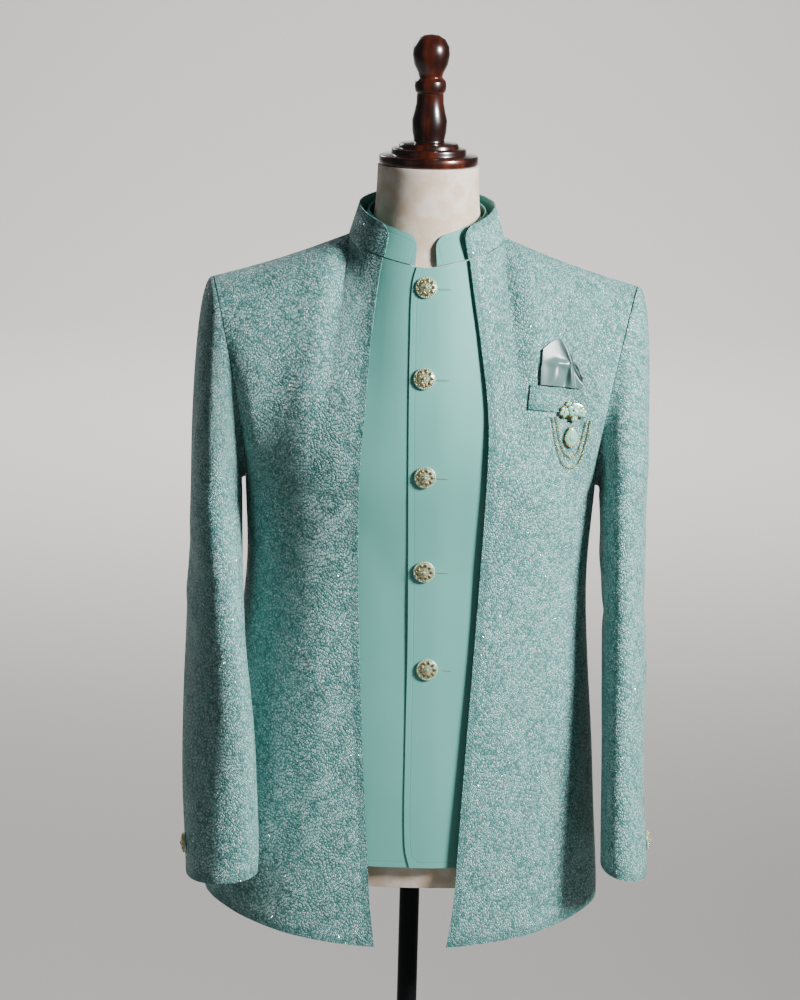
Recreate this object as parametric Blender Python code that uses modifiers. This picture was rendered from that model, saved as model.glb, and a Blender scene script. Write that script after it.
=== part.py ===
"""Two-layer bandhgala jacket on a limbless dress form.

Metres, +Z up. The wearer faces -Y, so the wearer's left is at +X.
The origin is the centre of the base plate's underside, on the pole's axis.
"""
import math
from collections import namedtuple

import bmesh
import bpy
from mathutils import Matrix, Vector

for old in list(bpy.data.objects):
    bpy.data.objects.remove(old, do_unlink=True)

# Cloth and gaps
OUTER_CLOTH = 0.0014
INNER_CLOTH = 0.0010
SEAM_GAP = 0.0003
ARMHOLE_GAP = 0.0009

# Landmarks of the outer jacket's body
UNDERARM_Z = 1.180
NECK_SHARE = 0.35
NECK_POINT = Vector((0.083, -0.004, 1.449))
SHOULDER_TIP = Vector((0.229, 0.004, 1.398))
FRONT_NECK_Y, FRONT_NECK_Z = -0.078, 1.422
BACK_NECK_Y, BACK_NECK_Z = 0.064, 1.462
SHOULDER_SAG = 0.003

# Horizontal sections: height, half width, front depth, back depth, centre x
Section = namedtuple("Section", "z half front back centre")
OUTER_SECTIONS = (
    Section(0.680, 0.2180, 0.1320, 0.1290, -0.0105),
    Section(0.740, 0.2160, 0.1305, 0.1270, -0.0100),
    Section(0.820, 0.2090, 0.1280, 0.1235, -0.0085),
    Section(0.900, 0.2020, 0.1240, 0.1195, -0.0065),
    Section(0.980, 0.1935, 0.1200, 0.1155, -0.0045),
    Section(1.050, 0.1870, 0.1175, 0.1120, -0.0025),
    Section(1.100, 0.1855, 0.1180, 0.1115, -0.0010),
    Section(1.180, 0.1900, 0.1250, 0.1170, 0.0000),
)
INNER_SECTIONS = (
    Section(0.770, 0.1960, 0.1200, 0.1160, -0.0060),
    Section(0.860, 0.1920, 0.1180, 0.1130, -0.0050),
    Section(0.960, 0.1840, 0.1140, 0.1085, -0.0030),
    Section(1.050, 0.1770, 0.1110, 0.1050, -0.0015),
    Section(1.100, 0.1765, 0.1115, 0.1050, -0.0005),
    Section(1.180, 0.1830, 0.1195, 0.1105, 0.0000),
)
FORM_SECTIONS = (
    Section(0.749, 0.1640, 0.1060, 0.1050, 0.0000),
    Section(0.800, 0.1710, 0.1100, 0.1080, 0.0000),
    Section(0.880, 0.1690, 0.1080, 0.1050, 0.0000),
    Section(0.960, 0.1590, 0.1030, 0.0980, 0.0000),
    Section(1.050, 0.1520, 0.1010, 0.0930, 0.0000),
    Section(1.110, 0.1620, 0.1050, 0.0970, 0.0000),
    Section(1.180, 0.1750, 0.1140, 0.1055, 0.0000),
)
SQUARENESS = 2.3
# Height of each lower edge at the centre front, the side seam and the centre back
Hem = namedtuple("Hem", "front side back")
OUTER_HEM = Hem(0.689, 0.722, 0.700)
INNER_HEM = Hem(0.776, 0.781, 0.778)
FORM_HEM = Hem(0.749, 0.749, 0.749)

# A layer's own sections, its lower edge, and how far its shoulders and neck lie inside the outer's
Layer = namedtuple("Layer", "sections hem shoulder_drop neck_inset")
OUTER = Layer(OUTER_SECTIONS, OUTER_HEM, 0.0, 0.0)
INNER = Layer(INNER_SECTIONS, INNER_HEM, 0.0032, 0.0042)
FORM = Layer(FORM_SECTIONS, FORM_HEM, 0.0052, 0.0076)

# Front edges: height and distance from the centre line, right then left
Edge = namedtuple("Edge", "z right left")
OUTER_EDGES = (
    Edge(0.680, -0.0360, 0.0390),
    Edge(0.730, -0.0425, 0.0465),
    Edge(0.800, -0.0480, 0.0505),
    Edge(0.900, -0.0545, 0.0555),
    Edge(1.000, -0.0600, 0.0610),
    Edge(1.100, -0.0640, 0.0660),
    Edge(1.200, -0.0650, 0.0700),
    Edge(1.270, -0.0610, 0.0700),
    Edge(1.340, -0.0570, 0.0610),
    Edge(1.400, -0.0510, 0.0510),
    Edge(1.440, -0.0450, 0.0450),
)
# The left inner front laps over the right one, whose own edge stays covered
INNER_EDGES = (
    Edge(0.770, 0.0190, 0.0000),
    Edge(0.800, 0.0190, -0.0070),
    Edge(0.900, 0.0190, -0.0090),
    Edge(1.030, 0.0190, -0.0095),
    Edge(1.250, 0.0190, -0.0140),
    Edge(1.350, 0.0190, -0.0150),
    Edge(1.405, 0.0190, -0.0140),
    Edge(1.430, 0.0190, -0.0080),
)
LAP_LIFT = 0.0014
LAP_FLAT, LAP_END = 0.024, 0.040

# Sleeve sections: height, inner x, outer x, centre y, half depth, and how far the back of the
# section leans outwards, for the right then the left arm
Arm = namedtuple("Arm", "z inner outer centre half lean")
RIGHT_ARM = (
    Arm(0.765, 0.1660, 0.2420, -0.1310, 0.0480, 0.012),
    Arm(0.800, 0.1650, 0.2440, -0.1280, 0.0500, 0.014),
    Arm(0.860, 0.1680, 0.2480, -0.1200, 0.0540, 0.018),
    Arm(0.940, 0.1740, 0.2500, -0.1000, 0.0620, 0.022),
    Arm(1.020, 0.1850, 0.2500, -0.0660, 0.0690, 0.018),
    Arm(1.100, 0.1910, 0.2500, -0.0280, 0.0740, 0.010),
    Arm(1.165, 0.1940, 0.2505, -0.0050, 0.0760, 0.004),
)
LEFT_ARM = (
    Arm(0.765, 0.2080, 0.2580, -0.0760, 0.0550, 0.004),
    Arm(0.800, 0.2070, 0.2560, -0.0740, 0.0570, 0.004),
    Arm(0.860, 0.2060, 0.2520, -0.0660, 0.0600, 0.004),
    Arm(0.940, 0.2050, 0.2510, -0.0480, 0.0660, 0.004),
    Arm(1.020, 0.2030, 0.2500, -0.0270, 0.0710, 0.003),
    Arm(1.100, 0.2000, 0.2475, -0.0100, 0.0750, 0.002),
    Arm(1.165, 0.1960, 0.2470, -0.0010, 0.0770, 0.002),
)
CUFF_TILT = 0.012
ARM_SQUARENESS = 2.2
# The two sleeve seams, as shares of the way round from the underarm over the front
FRONT_SEAM, BACK_SEAM = 0.13, 0.62

# Collars: front end half gap, top half width, top depths, heights at end, side and back, corner round
Collar = namedtuple("Collar", "end half front back rise_end rise_side rise_back corner")
OUTER_COLLAR = Collar(0.0445, 0.0725, -0.070, 0.060, 0.030, 0.035, 0.038, 0.014)
INNER_COLLAR = Collar(0.0115, 0.0625, -0.062, 0.054, 0.030, 0.032, 0.034, 0.013)

# Form neck: height, half width, front y, back y
Neck = namedtuple("Neck", "z half front back")
NECK_ROWS = (
    Neck(1.4620, 0.0600, -0.0600, 0.0545),
    Neck(1.4750, 0.0570, -0.0570, 0.0530),
    Neck(1.5000, 0.0552, -0.0550, 0.0530),
    Neck(1.5250, 0.0545, -0.0545, 0.0535),
)

# Turned neck cap: radius and height above the neck, down its outer side
CAP_PROFILE = (
    (0.0000, 0.1400), (0.0080, 0.1388), (0.0150, 0.1345), (0.0192, 0.1270), (0.0200, 0.1180),
    (0.0185, 0.1080), (0.0140, 0.0990), (0.0125, 0.0940), (0.0165, 0.0900), (0.0172, 0.0845),
    (0.0165, 0.0790), (0.0145, 0.0770), (0.0148, 0.0660), (0.0165, 0.0580), (0.0190, 0.0480),
    (0.0185, 0.0360), (0.0165, 0.0270), (0.0170, 0.0245), (0.0310, 0.0235), (0.0325, 0.0205),
    (0.0325, 0.0185), (0.0400, 0.0178), (0.0405, 0.0150), (0.0405, 0.0115), (0.0525, 0.0106),
    (0.0535, 0.0090), (0.0535, 0.0020), (0.0525, 0.0003), (0.0000, 0.0003),
)
NECK_TOP = 1.525

# Stand
POLE_RADIUS = 0.011
BASE_PROFILE = (
    (0.0000, 0.0300), (0.0150, 0.0300), (0.0180, 0.0280), (0.0200, 0.0160), (0.0300, 0.0125),
    (0.1500, 0.0100), (0.1640, 0.0080), (0.1650, 0.0060), (0.1650, 0.0000), (0.0000, 0.0000),
)

# Buttons: radius and height down the outer side
BUTTON_PROFILE = (
    (0.0000, 0.0048), (0.0035, 0.0045), (0.0075, 0.0036), (0.0100, 0.0024), (0.0114, 0.0016),
    (0.0117, 0.0008), (0.0110, 0.0000), (0.0000, 0.0000),
)
BUTTONS = ((0.001, 1.402), (0.001, 1.309), (0.003, 1.206), (0.006, 1.102), (0.012, 0.995))
CUFF_BUTTON_Z = 0.797

# Breast welt: corners as x and z, then the pocket square's fan above it
WELT = ((0.1115, 1.2780), (0.1690, 1.2705), (0.1710, 1.2960), (0.1140, 1.3035))
WELT_CLOTH = 0.0014
Peak = namedtuple("Peak", "along height")
SQUARE_PEAKS = (
    Peak(0.18, 0.020), Peak(0.20, 0.038), Peak(0.34, 0.045), Peak(0.50, 0.051),
    Peak(0.64, 0.045), Peak(0.80, 0.030), Peak(0.97, 0.018),
)
SQUARE_CLOTH = 0.0020

# Brooch: places as x and z on the left front
BROOCH = (0.1585, 1.2748)
BROOCH_DROP = (0.1582, 1.2470)
BROOCH_ENDS = ((0.1395, 1.2684), (0.1775, 1.2638))
CHAIN_SAGS = (0.0410, 0.0530)
CHAIN_RADIUS = 0.0008

# How finely each surface is divided
LOW_ROWS, TOP_ROWS = 8, 8
HALF_COLUMNS = 9
LAP_COLUMN = 0.066
SLEEVE_LOW_ROWS, SLEEVE_TOP_ROWS = 9, 5
SLEEVE_COLUMNS = 8


def eased(rows, z, field):
    """Value of one column at height z, on a smooth curve through the rows."""
    zs = [row.z for row in rows]
    vs = [getattr(row, field) for row in rows]
    z = min(max(z, zs[0]), zs[-1])
    i = max(k for k in range(len(zs) - 1) if zs[k] <= z)

    def slope(k):
        a, b = max(k - 1, 0), min(k + 1, len(zs) - 1)
        return (vs[b] - vs[a]) / (zs[b] - zs[a])

    width = zs[i + 1] - zs[i]
    t = (z - zs[i]) / width
    return (
        (2 * t**3 - 3 * t**2 + 1) * vs[i]
        + (t**3 - 2 * t**2 + t) * width * slope(i)
        + (-2 * t**3 + 3 * t**2) * vs[i + 1]
        + (t**3 - t**2) * width * slope(i + 1)
    )


def ramp(low, high, value):
    """0 below low, 1 above high, smooth between."""
    t = min(max((value - low) / (high - low), 0.0), 1.0)
    return t * t * (3 - 2 * t)


def power(value, exponent):
    return math.copysign(abs(value) ** exponent, value)


def hermite(p0, p1, t0, t1, v):
    return (
        p0 * (2 * v**3 - 3 * v**2 + 1)
        + t0 * (v**3 - 2 * v**2 + v)
        + p1 * (3 * v**2 - 2 * v**3)
        + t1 * (v**3 - v**2)
    )


def section_point(layer, face, angle, z):
    """Point of the body at an angle from the centre front or back (face -1 or 1), at height z."""
    half = eased(layer.sections, z, "half")
    depth = eased(layer.sections, z, "front" if face < 0 else "back")
    x = eased(layer.sections, z, "centre") + half * power(math.sin(angle), 2 / SQUARENESS)
    return Vector((x, face * depth * power(math.cos(angle), 2 / SQUARENESS), z))


def top_point(layer, face, u):
    """Point of the neckline, then of the shoulder seam, at column u from the centre."""
    side, u = math.copysign(1, u), abs(u)
    inset, drop = layer.neck_inset, layer.shoulder_drop
    neck_y, neck_z = (FRONT_NECK_Y, FRONT_NECK_Z) if face < 0 else (BACK_NECK_Y, BACK_NECK_Z)
    if u <= NECK_SHARE:
        s = u / NECK_SHARE
        a = s * math.pi / 2
        x = (NECK_POINT.x - inset) * math.sin(a)
        y = NECK_POINT.y + (neck_y - NECK_POINT.y - face * inset) * math.cos(a)
        return Vector((side * x, y, neck_z + (NECK_POINT.z - neck_z) * s - drop * s))
    k = (u - NECK_SHARE) / (1 - NECK_SHARE)
    x = (NECK_POINT.x - inset) * (1 - k) + (SHOULDER_TIP.x - 1.6 * drop) * k
    y = NECK_POINT.y * (1 - k) + SHOULDER_TIP.y * k
    z = NECK_POINT.z * (1 - k) + SHOULDER_TIP.z * k - SHOULDER_SAG * math.sin(math.pi * k)
    return Vector((side * x, y, z - drop))


def body_point(layer, face, u, v):
    """Point of a layer: u from the centre (0) to the side (1 or -1), v from hem (-1) to top (1).

    Below the underarm the columns run down the sections. Above it each one curves up to the
    neckline or over to the shoulder seam.
    """
    side, w = math.copysign(1, u), abs(u)
    angle = w * math.pi / 2
    if v <= 0:
        end = layer.hem.front if face < 0 else layer.hem.back
        low = end + (layer.hem.side - end) * math.sin(angle) ** 2
        p = section_point(layer, face, side * angle, UNDERARM_Z + (UNDERARM_Z - low) * v)
        return p
    p0 = section_point(layer, face, side * angle, UNDERARM_Z)
    p1 = top_point(layer, face, u)
    level = section_point(OUTER, face, side * angle, UNDERARM_Z)
    rise = section_point(OUTER, face, side * angle, UNDERARM_Z - 0.01)
    up = (level - rise).normalized() * 0.25
    tuck = 7.5 * layer.shoulder_drop * ramp(0.15, 0.8, w)
    round_arm = Vector((-0.03 * side, (0.24 - tuck) * face, 0.06))
    t0 = up.lerp(round_arm, ramp(0.52, 1.0, w))
    over = Vector((0.03 * side * ramp(0.60, 1.0, w), -(0.25 - tuck) * face, 0.03))
    upright = Vector((0, -0.08 * face, 0.23))
    t1 = upright.lerp(over, ramp(0.15, NECK_SHARE + 0.12, w))
    return hermite(p0, p1, t0, t1, v)


def even_column(i, columns):
    """Column i of a piece across both sides: one column falls exactly on each neck point."""
    k = i - columns / 2
    inner = round(columns / 2 * NECK_SHARE)
    if abs(k) <= inner:
        u = abs(k) / inner * NECK_SHARE
    else:
        u = NECK_SHARE + (abs(k) - inner) / (columns / 2 - inner) * (1 - NECK_SHARE)
    return math.copysign(max(u, 1e-9), k)


def edge_column(layer, edges, field, v):
    """Column u of a front edge at row v, where the layer's x meets the edge table."""
    low, high = -0.6, 0.6
    for _ in range(30):
        middle = (low + high) / 2
        p = body_point(layer, -1, middle, v)
        if p.x < eased(edges, p.z, field):
            low = middle
        else:
            high = middle
    return (low + high) / 2


def body_normal(layer, face, u, v):
    """Outward normal of a layer."""
    step = 1e-3
    u = min(max(u, -1 + step), 1 - step)
    v = min(max(v, -1 + step), 1 - step)
    du = body_point(layer, face, u + step, v) - body_point(layer, face, u - step, v)
    dv = body_point(layer, face, u, v + step) - body_point(layer, face, u, v - step)
    normal = du.cross(dv).normalized()
    return normal if face < 0 else -normal


def on_front(x, z):
    """Point and normal of the outer jacket's left front at x and z."""
    u, v = x / 0.2, (z - UNDERARM_Z) / 0.25
    for _ in range(12):
        p = body_point(OUTER, -1, u, v)
        u += (x - p.x) / 0.2 * 0.8
        v += (z - p.z) / (0.25 if v > 0 else 0.49) * 0.8
    return body_point(OUTER, -1, u, v), body_normal(OUTER, -1, u, v)


def body_rows(trim=0.0):
    """Rows from the hem to the top, the last one short of the seam by trim."""
    low = [-1 + i / LOW_ROWS for i in range(LOW_ROWS)]
    return low + [(1 - trim) * i / TOP_ROWS for i in range(TOP_ROWS + 1)]


def material(name, colour, roughness, metallic=0.0):
    made = bpy.data.materials.new(name)
    made.use_nodes = True
    shader = made.node_tree.nodes["Principled BSDF"]
    shader.inputs["Base Color"].default_value = (*colour, 1.0)
    shader.inputs["Roughness"].default_value = roughness
    shader.inputs["Metallic"].default_value = metallic
    return made


garment = bpy.data.collections.new("bandhgala_jacket")
bpy.context.scene.collection.children.link(garment)

OUTER_LOOK = material("Embroidered cloth", (0.21, 0.43, 0.39), 0.55)
INNER_LOOK = material("Plain cloth", (0.28, 0.50, 0.46), 0.70)
SATIN_LOOK = material("Satin", (0.21, 0.32, 0.32), 0.30)
LINEN_LOOK = material("Linen", (0.58, 0.50, 0.44), 0.85)
WOOD_LOOK = material("Turned wood", (0.08, 0.02, 0.008), 0.25)
POLE_LOOK = material("Dark steel", (0.05, 0.04, 0.04), 0.40, 0.8)
BUTTON_LOOK = material("Gilt button", (0.62, 0.52, 0.33), 0.30, 0.8)
ENAMEL_LOOK = material("Enamel", (0.40, 0.62, 0.55), 0.20)


def adopt(obj, name, look):
    """Names an object, gives it its material and moves it into the garment's collection."""
    obj.name = name
    obj.data.name = name
    obj.data.materials.clear()
    obj.data.materials.append(look)
    for owner in list(obj.users_collection):
        owner.objects.unlink(obj)
    garment.objects.link(obj)
    obj.data.shade_smooth()
    return obj


def laid_grid(mesh, columns, rows, place):
    """Adds a grid to a mesh and lays its vertices on place(i, j), each cell split the same way."""
    made = bmesh.ops.create_grid(mesh, x_segments=columns, y_segments=rows, size=1.0)["verts"]
    faces = list(dict.fromkeys(face for vertex in made for face in vertex.link_faces))
    reach = max(vertex.co.x for vertex in made)
    for vertex in made:
        i = round((vertex.co.x / reach + 1) / 2 * columns)
        j = round((vertex.co.y / reach + 1) / 2 * rows)
        vertex.co = place(i, j)
    bmesh.ops.triangulate(mesh, faces=faces, quad_method="FIXED")


def cloth(name, look, columns, rows, place, thickness):
    """A panel: a grid laid on place(i, j), with Solidify walls of even thickness."""
    mesh = bmesh.new()
    laid_grid(mesh, columns, rows, place)
    data = bpy.data.meshes.new(name)
    mesh.to_mesh(data)
    mesh.free()
    obj = bpy.data.objects.new(name, data)
    bpy.context.scene.collection.objects.link(obj)
    adopt(obj, name, look)
    walls = obj.modifiers.new("Walls", "SOLIDIFY")
    walls.thickness = thickness
    walls.offset = 0.0
    walls.use_even_offset = True
    walls.use_quality_normals = True
    return obj


def front_panel(name, look, layer, edges, field, side, thickness, trim, lift=None):
    """One front, from its edge to the side seam and armhole."""
    rows = body_rows(trim)
    ends = [edge_column(layer, edges, field, v) for v in rows]
    steps = [even_column(HALF_COLUMNS + k, 2 * HALF_COLUMNS) for k in range(HALF_COLUMNS + 1)]
    lines = steps[2:] if layer is OUTER else [LAP_COLUMN, LAP_COLUMN] + steps[1:]
    columns = len(lines)

    def place(i, j):
        u = ends[j] if i == 0 else side * lines[i - 1] * (1 - 0.0012)
        if i == 1 and layer is INNER:
            u = (u + ends[j]) / 2
        u = math.copysign(max(abs(u), 1e-9), u if u else side)
        p = body_point(layer, -1, u, rows[j])
        if lift:
            p = p + body_normal(layer, -1, u, rows[j]) * lift(p.x)
        return p

    return cloth(name, look, columns, len(rows) - 1, place, thickness)


def back_panel(name, look, layer, thickness, columns, trim):
    rows = body_rows(trim)

    def place(i, j):
        return body_point(layer, 1, (1 - 0.0012) * even_column(i, columns), rows[j])

    return cloth(name, look, columns, len(rows) - 1, place, thickness)


def collar_point(collar, layer, s, t, lift):
    """Point of a collar: s from its right front end round the back to its left one, t upwards."""
    start = NECK_SHARE * 2 / math.pi * math.asin(collar.end / (NECK_POINT.x - layer.neck_inset))
    front_share = (NECK_SHARE - start) / (2 * NECK_SHARE - start)
    side = -1 if s < 0.5 else 1
    along = abs(2 * s - 1)
    if along > 1 - front_share:
        k = (1 - along) / front_share
        u, face = start + (NECK_SHARE - start) * k, -1
    else:
        k = along / (1 - front_share)
        u, face = NECK_SHARE * k, 1
    foot = top_point(layer, face, side * max(u, 1e-9))
    a = u / NECK_SHARE * math.pi / 2
    depth = collar.front if face < 0 else collar.back
    rise_mid = collar.rise_end if face < 0 else collar.rise_back
    rise = rise_mid + (collar.rise_side - rise_mid) * math.sin(a)
    brim = Vector((side * collar.half * math.sin(a), NECK_POINT.y + (depth - NECK_POINT.y) * math.cos(a), 0))
    brim.z = foot.z + rise
    span = (1 - along) * 0.20
    cut = max(collar.corner - span, 0.0)
    full = 1 - (collar.corner - math.sqrt(max(collar.corner**2 - cut**2, 0.0))) / rise * 0.92
    foot.z += lift
    return foot.lerp(brim, t * full)


def collar_band(name, look, collar, layer, columns, rows, thickness, lift):
    """A stand collar with rounded front corners, its columns closer together near its ends."""

    def place(i, j):
        k = 1 - 2 * i / columns
        s = 0.5 - 0.5 * math.copysign(1 - (1 - abs(k)) ** 1.35, k)
        return collar_point(collar, layer, s, j / rows, lift)

    return cloth(name, look, columns, rows, place, thickness)


def armhole_point(side, q):
    """Point of the outer jacket's armhole: q from the underarm over the front, tip and back."""
    if q <= 0.5:
        return body_point(OUTER, -1, side, max(2 * q, 1e-6))
    return body_point(OUTER, 1, side, max(2 * (1 - q), 1e-6))


def sleeve_ring(rows, side, q, z):
    """Point of a sleeve's section at height z."""
    inner, outer = eased(rows, z, "inner"), eased(rows, z, "outer")
    centre, half = eased(rows, z, "centre"), eased(rows, z, "half")
    lean = eased(rows, z, "lean")
    angle = 2 * math.pi * q
    wide = math.sqrt(((outer - inner) / 2) ** 2 - lean**2)
    x = (inner + outer) / 2 - wide * power(math.cos(angle), 2 / ARM_SQUARENESS)
    x -= lean * power(math.sin(angle), 2 / ARM_SQUARENESS)
    y = centre - half * power(math.sin(angle), 2 / ARM_SQUARENESS)
    return Vector((side * x, y, z))


def sleeve_point(rows, side, q, v):
    """Point of a sleeve: v from the cuff (-1) to the section below the arm (0) to the armhole (1)."""
    top = rows[-1].z
    across = -math.cos(2 * math.pi * q)
    if v <= 0:
        low = rows[0].z - CUFF_TILT * across / 2 + CUFF_TILT / 2
        z = top + (top - low) * v
        return sleeve_ring(rows, side, q, z)
    p0 = sleeve_ring(rows, side, q, top)
    away = Vector((side, 0, 0))
    p1 = armhole_point(side, q) + away * (ARMHOLE_GAP + 0.0012)
    reach = (p1.z - p0.z)
    t0 = Vector((0, 0, 1)) * (reach * 1.25)
    t1 = Vector((-side, 0, 0)) * (0.022 + 0.028 * max(across, 0.0))
    return hermite(p0, p1, t0, t1, v)


def sleeve_piece(name, rows, side, start, end, columns):
    """One of a sleeve's two pieces, between two shares of the way round."""
    levels = [-1 + i / SLEEVE_LOW_ROWS for i in range(SLEEVE_LOW_ROWS)]
    levels += [i / SLEEVE_TOP_ROWS for i in range(SLEEVE_TOP_ROWS + 1)]
    trim = 0.0012

    def place(i, j):
        q = start + trim + (end - start - 2 * trim) * i / columns
        return sleeve_point(rows, side, q % 1.0, levels[j])

    return cloth(name, OUTER_LOOK, columns, len(levels) - 1, place, OUTER_CLOTH)


def turned(name, look, profile, steps, matrix, scale=1.0):
    """A turned solid from a profile of radius and height, listed down its outer side."""
    mesh = bpy.data.meshes.new(name)
    points = [(r * scale, 0.0, z) for r, z in profile]
    mesh.from_pydata(points, [(k, k + 1) for k in range(len(points) - 1)], [])
    obj = bpy.data.objects.new(name, mesh)
    bpy.context.scene.collection.objects.link(obj)
    spin = obj.modifiers.new("Spin", "SCREW")
    spin.steps = steps
    spin.render_steps = steps
    spin.use_merge_vertices = True
    spin.merge_threshold = 0.00001
    spin.use_smooth_shade = True
    obj.matrix_world = matrix
    return adopt(obj, name, look)


def facing(point, normal):
    """Matrix that stands a turned piece on a point, its axis along the normal."""
    return Matrix.Translation(point) @ normal.to_track_quat("Z", "Y").to_matrix().to_4x4()


def lapped_lift(x):
    """How far the left inner front stands out where it laps over the right one."""
    return LAP_LIFT * (1 - ramp(LAP_FLAT, LAP_END, x))


def patch_on_front(name, look, columns, rows, spot, out, thickness):
    """A piece lying on the left front: spot(i, j) gives x and z, out(i, j) its distance off it."""

    def place(i, j):
        x, z = spot(i, j)
        point, normal = on_front(x, z)
        return point + normal * out(i, j)

    return cloth(name, look, columns, rows, place, thickness)


def between(a, b, k):
    return tuple(p + (q - p) * k for p, q in zip(a, b))


def build_welt():
    low_in, low_out, top_out, top_in = WELT
    off = OUTER_CLOTH / 2 + SEAM_GAP + WELT_CLOTH / 2 + 0.0002

    def spot(i, j):
        return between(between(low_in, low_out, i / 8), between(top_in, top_out, i / 8), j / 3)

    patch_on_front("chest_pocket_welt", OUTER_LOOK, 8, 3, spot, lambda i, j: off, WELT_CLOTH)


def square_height(k):
    """Height of the pocket square's outline above the welt, at share k along the welt."""
    peaks = SQUARE_PEAKS
    if k <= peaks[0].along:
        return peaks[0].height
    for a, b in zip(peaks, peaks[1:]):
        if k <= b.along:
            return a.height + (b.height - a.height) * (k - a.along) / (b.along - a.along)
    return peaks[-1].height


def build_square():
    """Satin square standing out of the welt, in soft upright folds."""
    top_in, top_out = WELT[3], WELT[2]
    off = OUTER_CLOTH / 2 + SEAM_GAP + SQUARE_CLOTH / 2 + 0.0004
    columns, rows = 14, 5
    low, high = 0.17, 0.97

    def spot(i, j):
        k = low + (high - low) * i / columns
        x, z = between(top_in, top_out, k)
        rise = square_height(k) - 0.0010
        return x, z + 0.0010 + rise * j / rows

    def out(i, j):
        fold = 0.0016 * (1 + math.sin(2 * math.pi * 2.4 * i / columns + 0.35 * j))
        return off + fold * (1 - 0.5 * j / rows)

    patch_on_front("pocket_square", SATIN_LOOK, columns, rows, spot, out, SQUARE_CLOTH)


def build_inner_buttons():
    for number, (x, z) in enumerate(BUTTONS, 1):
        u, v = x / 0.19, (z - UNDERARM_Z) / 0.25
        for _ in range(14):
            p = body_point(INNER, -1, u, v)
            u += (x - p.x) / 0.19 * 0.8
            v += (z - p.z) / (0.25 if v > 0 else 0.40) * 0.8
        normal = body_normal(INNER, -1, u, v)
        point = body_point(INNER, -1, u, v) + normal * (LAP_LIFT + INNER_CLOTH / 2 + 0.0009)
        turned(f"button_{number}", BUTTON_LOOK, BUTTON_PROFILE, 16, facing(point, normal))


def build_cuff_button(name, rows, side):
    q = 0.53
    top = rows[-1].z
    v = (CUFF_BUTTON_Z - top) / (top - rows[0].z)
    here = sleeve_point(rows, side, q, v)
    along = sleeve_point(rows, side, q + 0.01, v) - sleeve_point(rows, side, q - 0.01, v)
    upward = sleeve_point(rows, side, q, v + 0.01) - sleeve_point(rows, side, q, v - 0.01)
    normal = along.cross(upward).normalized()
    if normal.x * side < 0:
        normal = -normal
    point = here + normal * (OUTER_CLOTH / 2 + 0.0001)
    turned(name, BUTTON_LOOK, BUTTON_PROFILE, 16, facing(point, normal), 0.95)


def lobed(name, look, spot, radius, lobes, height):
    """A flat flower: a cylinder whose rim swells into petals, lying on the left front."""
    point, normal = on_front(*spot)
    bpy.ops.mesh.primitive_cylinder_add(vertices=lobes * 6, radius=radius, depth=height)
    obj = bpy.context.object
    for vertex in obj.data.vertices:
        angle = math.atan2(vertex.co.y, vertex.co.x)
        swell = 0.84 + 0.16 * math.cos(lobes * angle)
        vertex.co.x *= swell
        vertex.co.y *= swell * 0.78
        if vertex.co.z > 0:
            vertex.co.x *= 0.82
            vertex.co.y *= 0.82
    welt_top = OUTER_CLOTH / 2 + SEAM_GAP + 0.0002 + WELT_CLOTH
    point = point + normal * (welt_top + 0.0013 + height / 2)
    obj.matrix_world = facing(point, normal)
    return adopt(obj, name, look)


def build_brooch():
    lobed("brooch_cluster", ENAMEL_LOOK, BROOCH, 0.0155, 5, 0.0040)
    point, normal = on_front(*BROOCH_DROP)
    bpy.ops.mesh.primitive_uv_sphere_add(segments=12, ring_count=8, radius=1.0)
    drop = bpy.context.object
    for vertex in drop.data.vertices:
        pinch = 1 - 0.35 * ramp(-0.2, 1.0, vertex.co.y)
        vertex.co = Vector((vertex.co.x * 0.0090 * pinch, vertex.co.y * 0.0118, vertex.co.z * 0.0026))
    side = Vector((0, 0, 1)).cross(normal).normalized()
    up = normal.cross(side).normalized()
    turn = Matrix((side, up, normal)).transposed().to_4x4()
    drop.matrix_world = Matrix.Translation(point + normal * (OUTER_CLOTH / 2 + 0.0034)) @ turn
    adopt(drop, "brooch_drop", ENAMEL_LOOK)
    for label, sag, off in (("inner", CHAIN_SAGS[0], 0.0026), ("outer", CHAIN_SAGS[1], 0.0024)):
        left, right = BROOCH_ENDS
        spread = 0.0022 if label == "outer" else -0.0022
        points = []
        for k in range(17):
            t = k / 16
            x = left[0] - spread + (right[0] - left[0] + 2 * spread) * t
            z = left[1] + (right[1] - left[1]) * t - sag * (1 - abs(2 * t - 1) ** 2.6)
            here, out = on_front(x, z)
            points.append(here + out * off)
        curve = bpy.data.curves.new("brooch_chain_" + label, "CURVE")
        curve.dimensions = "3D"
        curve.bevel_depth = CHAIN_RADIUS
        curve.bevel_resolution = 2
        curve.use_fill_caps = True
        line = curve.splines.new("POLY")
        line.points.add(len(points) - 1)
        for knot, at in zip(line.points, points):
            knot.co = (*at, 1.0)
        obj = bpy.data.objects.new("brooch_chain_" + label, curve)
        bpy.context.scene.collection.objects.link(obj)
        obj.data.materials.append(BUTTON_LOOK)
        for owner in list(obj.users_collection):
            owner.objects.unlink(obj)
        garment.objects.link(obj)


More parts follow.
